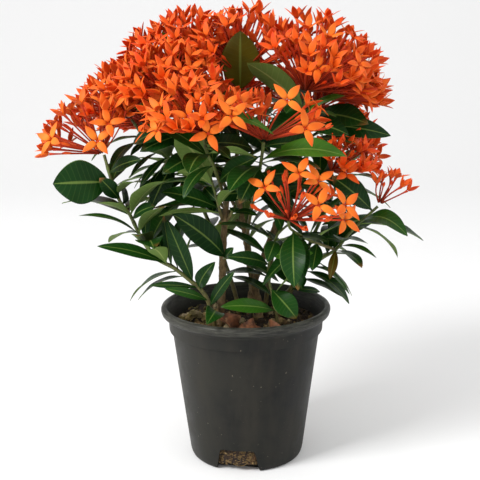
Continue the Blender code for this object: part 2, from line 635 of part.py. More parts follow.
def leafy_shoot(name, leaves, group):
    """A green shoot with its leaves, joined into one body."""
    _, foot, tip, _ = SHOOTS[name]
    route = shoot_route(name)[::4]
    if not np.allclose(route[-1], shoot_route(name)[-1]):
        route = np.vstack([route, shoot_route(name)[-1]])
    stem = tube("shoot_" + name, route, np.linspace(foot, tip, len(route)), group)
    if leaves:
        others = collection("leaves_" + name)
        for leaf in leaves:
            leaf_object("leaf", leaf, others)
        stem = joined(stem, others)
    return dressed(stem, "leaf")


def flower_head(name, florets, group):
    """A head of florets joined to the knot of stalks that carries them."""
    others = collection("florets_" + name)
    for spots in florets:
        new_object("floret", floret_mesh("floret", spots), others)
    head = core_object("head_" + name, name, group)
    return dressed(joined(head, others), "flower")


def dry_leaf(number, place, ground, group):
    """A curled dead leaf, let down until it nearly touches the soil."""
    base, tip, width, up = place
    leaf = {"base": np.array(base, float), "tip": np.array(tip, float), "width": width, "up": np.array(up),
            "arch": 0.10}
    made = leaf_object(f"dry_leaf_{number}", leaf, group)
    drops = []
    for upper, lower, way in ((made, ground, -1), (ground, made, 1)):
        lower.data.calc_loop_triangles()
        tree = BVHTree.FromPolygons([v.co for v in lower.data.vertices],
                                    [t.vertices for t in lower.data.loop_triangles])
        corners = [vert.co for vert in upper.data.vertices]
        between = [corners[edge.vertices[0]].lerp(corners[edge.vertices[1]], part)
                   for edge in upper.data.edges for part in (0.25, 0.5, 0.75)]
        hits = [tree.ray_cast(spot, (0, 0, way))[3] for spot in corners + between]
        drops += [hit for hit in hits if hit]
    drop = min(drops) - GAP * MM
    made.data.transform(Matrix.Translation((0, 0, -drop)))
    return dressed(made, "dry_leaf")


def main():
    clear_scene()
    plant = collection("ixora")
    pot(plant)
    feet = [(*points[0][:2], foot) for points, foot, _ in WOOD.values()]
    feet += [(*points[0][:2], foot) for points, foot, _, _ in SHOOTS.values() if points[0][2] < SOIL_LEVEL]
    ground = soil(plant, feet)
    for name in WOOD:
        woody_stem(name, plant)
    leaves, taken = leaf_plan()
    for name in SHOOTS:
        leafy_shoot(name, [leaf for leaf in leaves if leaf["shoot"] == name], plant)
    for seed, name in enumerate(HEADS):
        florets = head_plan(name, taken, seed)
        flower_head(name, florets, plant)
        taken = np.vstack([taken] + [floret_points(spots) for spots in florets])
    for number, place in enumerate(LITTER, 1):
        dry_leaf(number, place, ground, plant)


main()
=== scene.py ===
import math

import bmesh
import bpy
import numpy as np
from mathutils import Matrix, Vector
from numpy.linalg import norm


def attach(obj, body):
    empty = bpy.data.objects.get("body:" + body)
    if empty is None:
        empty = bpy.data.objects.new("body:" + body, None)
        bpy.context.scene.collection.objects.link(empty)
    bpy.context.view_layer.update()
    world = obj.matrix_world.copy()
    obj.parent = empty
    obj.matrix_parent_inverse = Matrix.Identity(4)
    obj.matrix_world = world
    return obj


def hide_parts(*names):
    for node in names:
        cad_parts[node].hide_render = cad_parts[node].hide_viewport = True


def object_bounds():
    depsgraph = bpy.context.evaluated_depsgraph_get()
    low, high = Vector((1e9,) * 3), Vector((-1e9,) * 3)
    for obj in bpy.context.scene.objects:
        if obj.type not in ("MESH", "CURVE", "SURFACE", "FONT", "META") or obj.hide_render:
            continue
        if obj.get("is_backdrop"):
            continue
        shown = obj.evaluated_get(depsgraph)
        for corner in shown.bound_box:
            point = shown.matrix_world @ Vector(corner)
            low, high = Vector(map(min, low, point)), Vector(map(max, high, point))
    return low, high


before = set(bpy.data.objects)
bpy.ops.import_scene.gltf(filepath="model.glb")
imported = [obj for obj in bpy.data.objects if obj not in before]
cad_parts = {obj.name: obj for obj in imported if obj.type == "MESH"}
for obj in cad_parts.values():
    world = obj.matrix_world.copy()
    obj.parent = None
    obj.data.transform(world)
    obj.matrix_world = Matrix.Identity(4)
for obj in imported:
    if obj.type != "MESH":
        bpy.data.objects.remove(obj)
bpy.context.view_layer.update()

MM = 0.001

# The pot is a thin black plastic nursery pot, pressed in one piece: a tapering wall on a flat floor, a
# shallow band and a rolled rim. Three notches in the foot let water out. It has been handled a lot, so
# the rim is scuffed pale and the wall carries faint streaks and specks of dried mud. Painted shade darkens
# the wall under the rim, and painted light brightens its left side.
POT_HEIGHT = 152.0
RIM_RADIUS = 82.5
RIM_INNER_RADIUS = 77.0
NECK_RADIUS = 73.5
FOOT_RADIUS = 55.5
WALL = 1.8
FLOOR = 2.5
NOTCH_ANGLES = (-99.6, 20.4, 140.4)
NOTCH_REACH = 42.0
NOTCH_WIDTH = 33.0
NOTCH_FOOT_WIDTH = 42.0
NOTCH_TOP = 23.0


def srgb(red, green, blue):
    """Linear colour of a display colour given as 0 to 255."""
    c = np.array([red, green, blue]) / 255.0
    return (*np.where(c <= 0.04045, c / 12.92, ((c + 0.055) / 1.055) ** 2.4), 1.0)


def fill(tree, node, sockets):
    """Fills a shader node's sockets with constants or with other nodes' outputs."""
    for key, value in sockets.items():
        if isinstance(value, bpy.types.NodeSocket):
            tree.links.new(value, node.inputs[key])
        else:
            node.inputs[key].default_value = value
    return node


def put(tree, kind, sockets, **settings):
    """Adds a shader node, sets its options and fills its sockets."""
    made = tree.nodes.new("ShaderNode" + kind)
    for key, value in settings.items():
        setattr(made, key, value)
    return fill(tree, made, sockets)


def maths(tree, how, *values):
    """Output of a sum, a product or the like of the values."""
    return put(tree, "Math", dict(enumerate(values)), operation=how).outputs[0]


def times(tree, a, b):
    return maths(tree, "MULTIPLY", a, b)


def mixed(tree, factor, a, b, how="MIX"):
    """Output of a colour mix of a and b."""
    return put(tree, "Mix", {0: factor, 6: a, 7: b}, data_type="RGBA", blend_type=how).outputs[2]


def ranged(tree, value, low, high, to_low=0.0, to_high=1.0):
    """Output of value mapped from low..high to to_low..to_high, and held there."""
    made = put(tree, "MapRange", {0: value, 1: low, 2: high, 3: to_low, 4: to_high})
    return made.outputs[0]


def noise(tree, where, scale, detail=3.0, roughness=0.5):
    """Output of a cloudy pattern. A larger scale makes it finer."""
    made = put(tree, "TexNoise", {"Vector": where, "Scale": scale, "Detail": detail, "Roughness": roughness})
    return made.outputs[0]


def new_material(name):
    """An empty material's tree, its Principled shader and its object coordinates."""
    made = bpy.data.materials.new(name)
    made.use_nodes = True
    tree = made.node_tree
    return made, tree, tree.nodes["Principled BSDF"], put(tree, "TexCoord", {}).outputs["Object"]


def attribute(tree, name):
    """Output of a value that the mesh carries at its points."""
    return put(tree, "Attribute", {}, attribute_name=name).outputs["Fac"]


def stretched(tree, place, z):
    """Output of the object coordinates with the height scaled by z."""
    return put(tree, "Mapping", {"Vector": place, "Scale": (1.0, 1.0, z)}).outputs[0]


def ramped(tree, value, first, last, *between):
    """Output of a ramp of display colours from first to last, with those between at their own spots."""
    made = put(tree, "ValToRGB", {0: value})
    made.color_ramp.elements[0].color = srgb(*first)
    made.color_ramp.elements[1].color = srgb(*last)
    for spot, shade in between:
        made.color_ramp.elements.new(spot).color = srgb(*shade)
    return made.outputs[0]


def bumped(tree, shader, height, strength, distance):
    """Makes the surface look uneven by a height."""
    made = put(tree, "Bump", {"Strength": strength, "Distance": distance, "Height": height})
    tree.links.new(made.outputs[0], shader.inputs["Normal"])


def linked(thing):
    """Puts an object into the scene, if it isn't there."""
    if thing.name not in bpy.context.scene.collection.objects:
        bpy.context.scene.collection.objects.link(thing)
    return thing


def shown(thing, slot, *nodes):
    """Puts a finished piece on the body, in place of the CAD nodes. The slot is not used."""
    linked(thing)
    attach(thing, "root")
    if nodes:
        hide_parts(*nodes)
    return thing


def sweeps(name, p, material, **values):
    """A mesh of closed bodies. p holds their points as body, row along, place round the ring, xyz, in mm.
    Each row joins the next with quads, and the first and last rings are closed flat. values are
    attributes of the points."""
    count, rows, ring = p.shape[:3]
    index = np.arange(count * rows * ring).reshape(count, rows, ring)
    after = np.roll(index, -1, axis=2)
    quads = np.stack([index[:, :-1], after[:, :-1], after[:, 1:], index[:, 1:]], axis=-1).reshape(-1, 4)
    caps = np.concatenate([index[:, 0, ::-1], index[:, -1]])
    mesh = bpy.data.meshes.new(name)
    mesh.vertices.add(index.size)
    mesh.vertices.foreach_set("co", (p * MM).astype(np.float32).ravel())
    corners = np.concatenate([quads.ravel(), caps.ravel()]).astype(np.int32)
    totals = np.concatenate([np.full(len(quads), 4), np.full(len(caps), ring)]).astype(np.int32)
    mesh.loops.add(len(corners))
    mesh.loops.foreach_set("vertex_index", corners)
    mesh.polygons.add(len(totals))
    mesh.polygons.foreach_set("loop_start", np.concatenate([[0], np.cumsum(totals)[:-1]]).astype(np.int32))
    mesh.polygons.foreach_set("loop_total", totals)
    mesh.polygons.foreach_set("use_smooth", np.arange(len(totals)) < len(quads))
    for key, value in values.items():
        made = mesh.attributes.new(key, "FLOAT", "POINT")
        value = np.broadcast_to(value, (count, rows, ring)).astype(np.float32)
        made.data.foreach_set("value", value.ravel())
    mesh.update(calc_edges=True)
    mesh.validate()
    mesh.materials.append(material)
    return bpy.data.objects.new(name, mesh)


def wall_radius(height):
    """Outside radius of the pot's tapering wall at a height."""
    return FOOT_RADIUS + (NECK_RADIUS - FOOT_RADIUS) * height / (POT_HEIGHT - 12)


def lathe(profile, steps=144):
    """Points of a turned body: each (radius, height) of the profile at steps angles round the Z axis."""
    r, z = np.array(profile, float).T
    a = np.arange(steps) / steps * 2 * math.pi
    p = [np.outer(r, np.cos(a)), np.outer(r, np.sin(a)), np.repeat(z[:, None], steps, 1)]
    return np.stack(p, -1)[None]


pot_plastic, tree, shader, place = new_material("black_plastic")
height = put(tree, "SeparateXYZ", {0: place}).outputs[2]
streaks = ranged(tree, noise(tree, stretched(tree, place, 0.12), 55.0, 5.0, 0.65), 0.45, 0.75)
cloud = ranged(tree, noise(tree, place, 20.0, 6.0, 0.7), 0.40, 0.60)
specks = ranged(tree, noise(tree, place, 420.0, 1.0), 0.76, 0.80)
scuffs = ranged(tree, noise(tree, stretched(tree, place, 9), 70.0, 6.0, 0.75), 0.42, 0.72)
at_rim = ranged(tree, height, 0.139, 0.147)
# Painted shade under the rim: the wall darkens up towards the rim roll, broken up by streaks.
shade_streaks = noise(tree, stretched(tree, place, 0.05), 120.0, 2.0)
painted_shade_under_rim = times(tree, ranged(tree, height, 0.118, 0.141), ranged(tree, shade_streaks, 0.55, 0.7))
colour = mixed(tree, cloud, srgb(10, 12, 12), srgb(30, 30, 26))
colour = mixed(tree, times(tree, streaks, 0.35), colour, srgb(56, 51, 42))
colour = mixed(tree, times(tree, specks, 0.55), colour, srgb(150, 140, 120))
# Mixes in the painted shade under the rim.
colour = mixed(tree, times(tree, painted_shade_under_rim, 0.6), colour, srgb(12, 13, 14))
# Painted light and reflection: the pot's left side is lightened towards a warm grey, as if lit from the left.
painted_left_light = ranged(tree, put(tree, "SeparateXYZ", {0: place}).outputs[0], -0.07, 0.02, 0.35, 0.0)
colour = mixed(tree, painted_left_light, colour, srgb(60, 58, 50))
colour = mixed(tree, times(tree, at_rim, 0.25), colour, srgb(58, 58, 54))
worn = times(tree, scuffs, at_rim)
colour = mixed(tree, times(tree, worn, 0.32), colour, srgb(128, 128, 116))
fill(tree, shader, {"Base Color": colour, "Specular IOR Level": 0.2,
                    "Roughness": ranged(tree, cloud, 0.0, 1.0, 0.42, 0.58)})
bumped(tree, shader, noise(tree, place, 160.0, 4.0), 0.18, 0.0006)

neck = POT_HEIGHT - 12
pot_profile = (
    [(20, FLOOR), (wall_radius(FLOOR) - WALL - 1.5, FLOOR), (wall_radius(3.2) - WALL - 0.5, 3.2),
     (wall_radius(5) - WALL, 5), (NECK_RADIUS - WALL, neck)]
    + [(RIM_INNER_RADIUS + out, POT_HEIGHT - down)
       for out, down in ((-1.6, 5.5), (-0.7, 3), (0, 1), (0.9, 0.2), (2.2, 0))]
    + [(RIM_RADIUS - inward, POT_HEIGHT - down) for inward, down in
       ((2.0, 0.5), (0.8, 1.3), (0.1, 2.8), (0, 4.4), (0.4, 6.0), (0.9, 7.4), (1.9, 8.4))]
    + [(NECK_RADIUS + out, neck + up)
       for out, up in ((4.2, 2.4), (2.3, 0.6), (1.9, -1.0), (1.3, -11.2), (1.0, -12.0))]
    + [(wall_radius(neck - 13.0) + 0.1, neck - 12.8)]
    + [(wall_radius(height), height) for height in (neck - 15, 110, 85, 60, 40, 26, 20, 14, 8)]
    + [(wall_radius(5) - 0.1, 5), (wall_radius(2.6) - 0.5, 2.6), (wall_radius(1) - 1.1, 1.0),
       (FOOT_RADIUS - 2.4, 0.2), (FOOT_RADIUS - 3.4, 0), (20, 0)])
pot = linked(sweeps("pot_body", lathe(pot_profile), pot_plastic))
for angle in NOTCH_ANGLES:
    bm = bmesh.new()
    bmesh.ops.create_cube(bm, size=1.0)
    for vert in bm.verts:
        low = vert.co.z < 0
        reach = NOTCH_REACH if vert.co.x < 0 else FOOT_RADIUS + 10
        width = NOTCH_FOOT_WIDTH if low else NOTCH_WIDTH
        vert.co = Vector((reach, vert.co.y * width, -1 if low else NOTCH_TOP)) * MM
    top_sides = [edge for edge in bm.edges if edge.verts[0].co.z > 0
                 and abs(edge.verts[0].co.y - edge.verts[1].co.y) < 10 * MM
                 and abs(edge.verts[0].co.z - edge.verts[1].co.z) < 1 * MM]
    bmesh.ops.bevel(bm, geom=top_sides, offset=3 * MM, segments=4, profile=0.5, affect="EDGES")
    bm.normal_update()
    bmesh.ops.recalc_face_normals(bm, faces=bm.faces)
    bm.transform(Matrix.Rotation(math.radians(angle), 4, "Z"))
    mesh = bpy.data.meshes.new("notch")
    bm.to_mesh(mesh)
    bm.free()
    cutter = linked(bpy.data.objects.new("notch", mesh))
    step = pot.modifiers.new("notch", "BOOLEAN")
    step.operation, step.solver, step.object = "DIFFERENCE", "EXACT", cutter
    bpy.context.view_layer.update()
    cut = bpy.data.meshes.new_from_object(pot.evaluated_get(bpy.context.evaluated_depsgraph_get()))
    pot.modifiers.clear()
    pot.data = cut
    bpy.data.objects.remove(cutter, do_unlink=True)
pot.data.set_sharp_from_angle(angle=math.radians(35))
shown(pot, "black_plastic", "pot")

# The soil is a dark peaty potting mix with pale lumps of bark and grit. It fills the pot to 18 mm below
# the rim, shows in the notches of the foot, where old roots hold it, and has plain holes for the stems.
SOIL_LEVEL = 134.0
SOIL_RELIEF = 2.5


def relief(x, y):
    """Height of the soil's top over its level: broad bumps with finer ones on them."""
    broad = np.sin(x / 9.0 + 1.0) * np.cos(y / 7.0) + 0.6 * np.sin((x + y) / 4.3)
    fine = np.sin(x / 1.7 + 2 * np.sin(y / 3.1)) * np.cos(y / 1.3 + np.sin(x / 2.2))
    return SOIL_RELIEF * broad + 0.5 * fine


def lumps(where, size, seed):
    """Irregular lumps, as bodies of rings: each place gets a ball of 7 rings of 8 points, pulled out of
    round by seeded amounts and turned at random."""
    draw = np.random.default_rng(seed)
    count = len(where)
    lat = np.linspace(-0.48, 0.48, 7) * math.pi
    lon = np.arange(8) / 8 * 2 * math.pi
    ball = np.stack([np.outer(np.cos(lat), np.cos(lon)), np.outer(np.cos(lat), np.sin(lon)),
                     np.repeat(np.sin(lat)[:, None], 8, 1)], -1)
    body = ball[None] * draw.uniform(0.78, 1.22, (count, 7, 8, 1)) * draw.uniform(0.5, 1.3, (count, 1, 1, 3))
    quat = draw.normal(size=(count, 4))
    w, x, y, z = (quat / norm(quat, axis=1, keepdims=True)).T
    turn = np.array([[1 - 2 * (y * y + z * z), 2 * (x * y - z * w), 2 * (x * z + y * w)],
                     [2 * (x * y + z * w), 1 - 2 * (x * x + z * z), 2 * (y * z - x * w)],
                     [2 * (x * z - y * w), 2 * (y * z + x * w), 1 - 2 * (x * x + y * y)]]).transpose(2, 0, 1)
    size = np.asarray(size).reshape(-1, 1, 1, 1)
    return where[:, None, None] + np.einsum("nij,nrsj->nrsi", turn, body) * size


soil_mix, tree, shader, place = new_material("soil")
clods = noise(tree, place, 260.0, 6.0, 0.7)
colour = mixed(tree, ranged(tree, clods, 0.35, 0.7), srgb(18, 13, 9), srgb(62, 43, 28))
colour = mixed(tree, ranged(tree, noise(tree, place, 70.0, 4.0), 0.55, 0.7), colour, srgb(95, 66, 38))
fill(tree, shader, {"Base Color": colour, "Roughness": 0.95})
bumped(tree, shader, clods, 0.9, 0.002)

soil_top = wall_radius(SOIL_LEVEL) - WALL - 0.6
rings = np.linspace(1.0, soil_top, 60)
soil_profile = ([(NOTCH_REACH - 30, FLOOR + 0.3), (NOTCH_REACH - 1, FLOOR + 0.3)]
                + [(wall_radius(h) - WALL - 0.8, h) for h in (7, *np.linspace(12, 128, 24))]
                + [(soil_top, SOIL_LEVEL)]
                + [(radius, SOIL_LEVEL) for radius in rings[::-1]])
p = lathe(soil_profile, 180)
x, y, z = p[..., 0], p[..., 1], p[..., 2]
top = z > SOIL_LEVEL - 1
p[..., 2] += np.where(top, relief(x, y) * np.clip((soil_top - np.hypot(x, y)) / 4, 0, 1), 0)
side = ~top & (z > 6)
turn = np.arctan2(y, x)
pitted = 1 - 0.012 * (1 + np.sin(turn * 61 + z) * np.sin(z * 1.3 + turn * 23))
p[..., :2] *= np.where(side, pitted, 1)[..., None]
shown(sweeps("potting_soil", p, soil_mix), "soil", "soil")

grit, tree, shader, place = new_material("soil_grit")
kind = attribute(tree, "kind")
shades = ramped(tree, kind, (30, 20, 13), (176, 164, 140), (0.35, (58, 42, 24)), (0.6, (112, 88, 50)),
                (0.8, (158, 134, 88)))
grain = noise(tree, place, 500.0, 4.0)
moss = times(tree, ranged(tree, put(tree, "SeparateXYZ", {0: place}).outputs[0], -0.03, -0.045),
             ranged(tree, noise(tree, place, 70.0), 0.42, 0.58, 0.0, 0.45))
mossy = mixed(tree, moss, shades, srgb(122, 118, 52))
colour = mixed(tree, ranged(tree, grain, 0.3, 0.7, 0.5, 0.0), mossy, srgb(38, 25, 15))
fill(tree, shader, {"Base Color": colour, "Roughness": 0.9})

CRUMBS = 1000
draw = np.random.default_rng(5)
turn = draw.uniform(0, 2 * math.pi, CRUMBS)
far = np.sqrt(draw.uniform(0, 1, CRUMBS)) * (soil_top - 2)
x, y = far * np.cos(turn), far * np.sin(turn)
size = 0.8 + 2.2 * draw.uniform(0, 1, CRUMBS) ** 2
crumbs = lumps(np.stack([x, y, SOIL_LEVEL + relief(x, y) + 0.1], -1), size, 6)
kinds = draw.uniform(0, 0.75, CRUMBS) ** 1.3 + (draw.uniform(0, 1, CRUMBS) > 0.96) * 0.5
crumb_piece = sweeps("soil_crumbs", crumbs, grit, kind=kinds[:, None, None])
crumb_piece.data.shade_flat()
shown(crumb_piece, "soil")
# Pale chips of bark lie on the soil in front on the left, and some lie elsewhere.
turn, far = draw.uniform(math.radians(175), math.radians(245), 60), draw.uniform(30, 66, 60)
chips = np.column_stack([far * np.cos(turn), far * np.sin(turn)])
chips = np.vstack([chips, draw.uniform(-46, 46, (34, 2))])
where = np.column_stack([chips, SOIL_LEVEL + relief(chips[:, 0], chips[:, 1]) + 2.0])
chip_bodies = lumps(where, draw.uniform(2.6, 5.6, len(chips)), 9)
kinds = np.where(draw.uniform(0, 1, len(chips)) < 0.3, 0.88, draw.uniform(0.45, 0.8, len(chips)))
chip_piece = sweeps("bark_chips", chip_bodies, grit, kind=kinds[:, None, None])
chip_piece.data.shade_flat()
shown(chip_piece, "soil")
# In each notch the lumps at the side of the soil show, with old roots across them.
NOTCH_LUMPS = 330
turn = np.radians(np.repeat(NOTCH_ANGLES, NOTCH_LUMPS // 3)) + draw.uniform(-0.36, 0.36, NOTCH_LUMPS)
z = draw.uniform(6.5, NOTCH_TOP, NOTCH_LUMPS)
out = wall_radius(z) - WALL - 2.2
lump_places = np.stack([out * np.cos(turn), out * np.sin(turn), z], -1)
notch_bodies = lumps(lump_places, draw.uniform(0.8, 1.9, NOTCH_LUMPS), 11)
kinds = draw.choice([0.15, 0.3, 0.45, 0.55, 0.7], NOTCH_LUMPS)
shown(sweeps("soil_in_notches", notch_bodies, grit, kind=kinds[:, None, None]), "soil")


def unit(v):
    """The direction of v, one long."""
    v = np.asarray(v, float)
    return v / norm(v)


def smooth_route(points, spacing):
    """Points about spacing apart on a Catmull-Rom curve through the given points."""
    p = np.asarray(points, float)
    p = np.vstack([2 * p[0] - p[1], p, 2 * p[-1] - p[-2]])
    out = []
    for a, b, c, d in zip(p[:-3], p[1:-2], p[2:-1], p[3:]):
        steps = max(1, round(norm(c - b) / spacing))
        t = np.arange(steps)[:, None] / steps
        out.append(0.5 * (2 * b + (c - a) * t + (2 * a - 5 * b + 4 * c - d) * t ** 2
                          + (3 * b - a - 3 * c + d) * t ** 3))
    out.append(p[-2][None])
    return np.vstack(out)


def stalk(route, radius, sides):
    """Points of a tube round a route: at each point a ring of that radius, square to the route. The ring's
    zero direction is the one nearest to +X, so the rings don't twist."""
    ahead = np.gradient(route, axis=0)
    ahead /= norm(ahead, axis=1, keepdims=True)
    e1 = np.array([1.0, 0.0, 0.0]) - ahead * ahead[:, :1]
    e1 /= norm(e1, axis=1, keepdims=True)
    e2 = np.cross(ahead, e1)
    a = np.arange(sides) / sides * 2 * math.pi
    round_it = e1[:, None] * np.cos(a)[None, :, None] + e2[:, None] * np.sin(a)[None, :, None]
    radius = np.broadcast_to(np.asarray(radius, float).reshape(len(route), -1), (len(route), sides))
    return (route[:, None] + round_it * radius[..., None])[None]


draw = np.random.default_rng(21)
roots = []
for angle in NOTCH_ANGLES:
    for i in range(12):
        a = np.linspace(-0.33, 0.33, 24) + math.radians(angle)
        wander = draw.uniform(1, 3) * np.sin(a * draw.uniform(9, 20) + i * 2.1)
        z = np.clip(7 + 1.3 * i + wander, 5.5, NOTCH_TOP)
        out = wall_radius(z) - WALL - 1.6
        route = np.stack([out * np.cos(a), out * np.sin(a), z], -1)
        roots.append(stalk(route, np.full(24, draw.uniform(0.25, 0.5)), 6))
shown(sweeps("old_roots", np.concatenate(roots), grit, kind=0.62), "soil")

# The three woody stems are the old wood of the shrub, grey-brown and ringed with the scars of fallen
# leaves. The left one was pruned and ends in a stub. They stand in plain holes in the soil.
WOOD = {
    "stem_left": ([(-23, -28, 122), (-23, -28, 163), (-22, -28, 183), (-21, -28, 212), (-19, -28, 238),
                   (-17, -28, 261)], 4.4, 2.9),
    "stem_middle": ([(13, 0, 122), (13, 0, 150), (8, 0, 170), (4, 2, 190), (1, 5, 214), (-5, 8, 248),
                     (-8, 10, 281)], 3.8, 2.4),
    "stem_right": ([(5, 13, 122), (5, 13, 151), (10, 13, 172), (16, 13, 190), (26, 15, 216), (39, 20, 250),
                    (49, 20, 284)], 3.8, 2.4),
}

bark, tree, shader, place = new_material("bark")
fibres = noise(tree, stretched(tree, place, 0.35), 420.0, 5.0, 0.65)
patches = noise(tree, place, 90.0, 3.0)
colour = mixed(tree, ranged(tree, fibres, 0.3, 0.7), srgb(52, 40, 22), srgb(128, 104, 66))
colour = mixed(tree, ranged(tree, patches, 0.5, 0.75), colour, srgb(160, 132, 96))
fill(tree, shader, {"Base Color": colour, "Roughness": 0.85})
bumped(tree, shader, fibres, 0.8, 0.001)

for number, (name, (points, foot, tip)) in enumerate(WOOD.items()):
    route = smooth_route(points, 1.6)
    t = np.linspace(0, 1, len(route))[:, None]
    z, a = route[:, 2:], np.arange(20)[None] / 20 * 2 * math.pi
    scars = np.exp(-(((z + number * 7) % 23 - 11) / 1.4) ** 2)
    knobs = scars * np.clip(np.cos(a - (z // 23) * 1.57 - number), 0, 1)
    rough = 0.05 * np.sin(a * 3 + z / 4) * np.sin(z / 2.7 + a) + 0.03 * np.sin(a * 7 + z)
    radius = (foot + (tip - foot) * t) * (0.93 + rough + 0.10 * scars + 0.22 * knobs)
    shown(sweeps("wood_" + name[5:], stalk(route, radius, 20), bark), "bark", name)

# The green shoots are this year's growth. Each is a smooth green twig with glossy leaves in pairs, and most
# carry a flower head. A leaf is leathery, dark green above with a pale midrib, and grey-green below.
HEADS = {
    "a": ((-129, -22, 301), (-0.62, -0.32, 0.75), 52, 74),
    "b": ((-107, 15, 330), (-0.42, -0.10, 0.90), 47, 76),
    "c": ((-56, 45, 367), (-0.22, 0.05, 1.00), 52, 76),
    "d": ((-4, 25, 368), (0.00, -0.05, 1.00), 52, 74),
    "e": ((57, 0, 354), (0.22, -0.20, 1.00), 56, 76),
    "f": ((76, 35, 345), (0.85, 0.05, 0.55), 54, 64),
    "g": ((-36, -70, 324), (-0.18, -0.30, 1.00), 48, 80),
    "h": ((16, -72, 317), (0.25, -0.30, 1.00), 52, 80),
    "j": ((81, 5, 279), (0.62, -0.45, 0.55), 38, 58),
    "k": ((37, -85, 250), (0.42, -0.50, 0.75), 42, 76),
    "l": ((125, -12, 249), (0.45, -0.20, 1.00), 30, 38),
    "m": ((-68, -20, 349), (-0.22, -0.28, 1.00), 46, 76),
    "n": ((-95, 78, 318), (-0.55, 0.60, 0.75), 46, 82),
    "p": ((-15, 98, 340), (0.00, 0.60, 0.95), 46, 82),
    "q": ((70, 92, 328), (0.40, 0.60, 0.85), 46, 82),
    "r": ((112, 62, 285), (0.75, 0.45, 0.60), 42, 74),
}
SHOOTS = {
    "a": ([(-30, -38, 122), (-30, -38, 146), (-38, -40, 172), (-52, -42, 187), (-68, -42, 200),
           (-81, -42, 207), (-94, -40, 224), (-106, -35, 248), (-114, -32, 258), (-122, -28, 277)], 2.4, 1.5),
    "b": ([(-4.1, 10.5, 228), (-38, 18, 262), (-72, 20, 290), (-95, 18, 312)], 2.0, 1.5),
    "c": ([(-9, 14, 270), (-31, 30, 318), (-48, 42, 346)], 1.9, 1.5),
    "d": ([(-8, 10, 281.7), (-6, 18, 320), (-4, 24, 348)], 1.9, 1.5),
    "e": ([(49, 20, 285.0), (54, 10, 315), (56, 3, 335)], 1.9, 1.5),
    "f": ([(48.7, 23.6, 270), (57, 31, 298), (67, 35, 328)], 1.9, 1.5),
    "g": ([(-17.9, -33.0, 254), (-22, -42, 275), (-28, -58, 295), (-33, -66, 308)], 1.9, 1.5),
    "h": ([(1, 0, 216), (6, -20, 250), (11, -50, 280), (14, -66, 300)], 1.9, 1.5),
    "j": ([(42, 16, 250), (55, 13, 262), (70, 9, 272)], 1.8, 1.4),
    "k": ([(84.5, -12.5, 208), (61, -40, 222), (46, -65, 235), (38.5, -79, 243)], 1.4, 1.2),
    "l": ([(34, 15, 122), (34, 15, 146), (44, 8, 164), (54, 0, 182), (71, -8, 197), (86, -10, 207),
           (96, -12, 220), (108, -12, 233)], 2.2, 1.4),
    "m": ([(-10.4, 8, 248), (-28, 0, 286), (-50, -15, 320), (-62, -19, 334)], 1.9, 1.5),
    "n": ([(-8, 20, 122), (-8, 20, 146), (-22, 30, 190), (-48, 48, 250), (-78, 66, 296)], 2.4, 1.6),
    "p": ([(6, 29, 122), (6, 29, 146), (4, 42, 200), (-4, 66, 270), (-12, 86, 318)], 2.4, 1.6),
    "q": ([(21, 33, 122), (21, 33, 146), (30, 46, 200), (46, 66, 260), (60, 80, 304)], 2.4, 1.6),
    "r": ([(43, 25, 122), (43, 25, 146), (60, 36, 190), (82, 48, 236), (98, 55, 268)], 2.3, 1.5),
    "top_left": ([(-21.4, -32.1, 242), (-25, -41, 259), (-30, -46, 280)], 1.6, 1.0),
    "top_right": ([(-15.4, -31.5, 242), (-10, -37, 254), (-6, -42, 266)], 1.6, 1.0),
    "low_left": ([(-20.3, -32, 205), (-17, -40, 207)], 1.6, 1.2),
    "front": ([(29, -32, 122), (29, -32, 146), (24, -28, 173), (21, -28, 187), (23, -32, 205), (28, -42, 226),
               (33, -52, 237)], 1.8, 1.1),
}
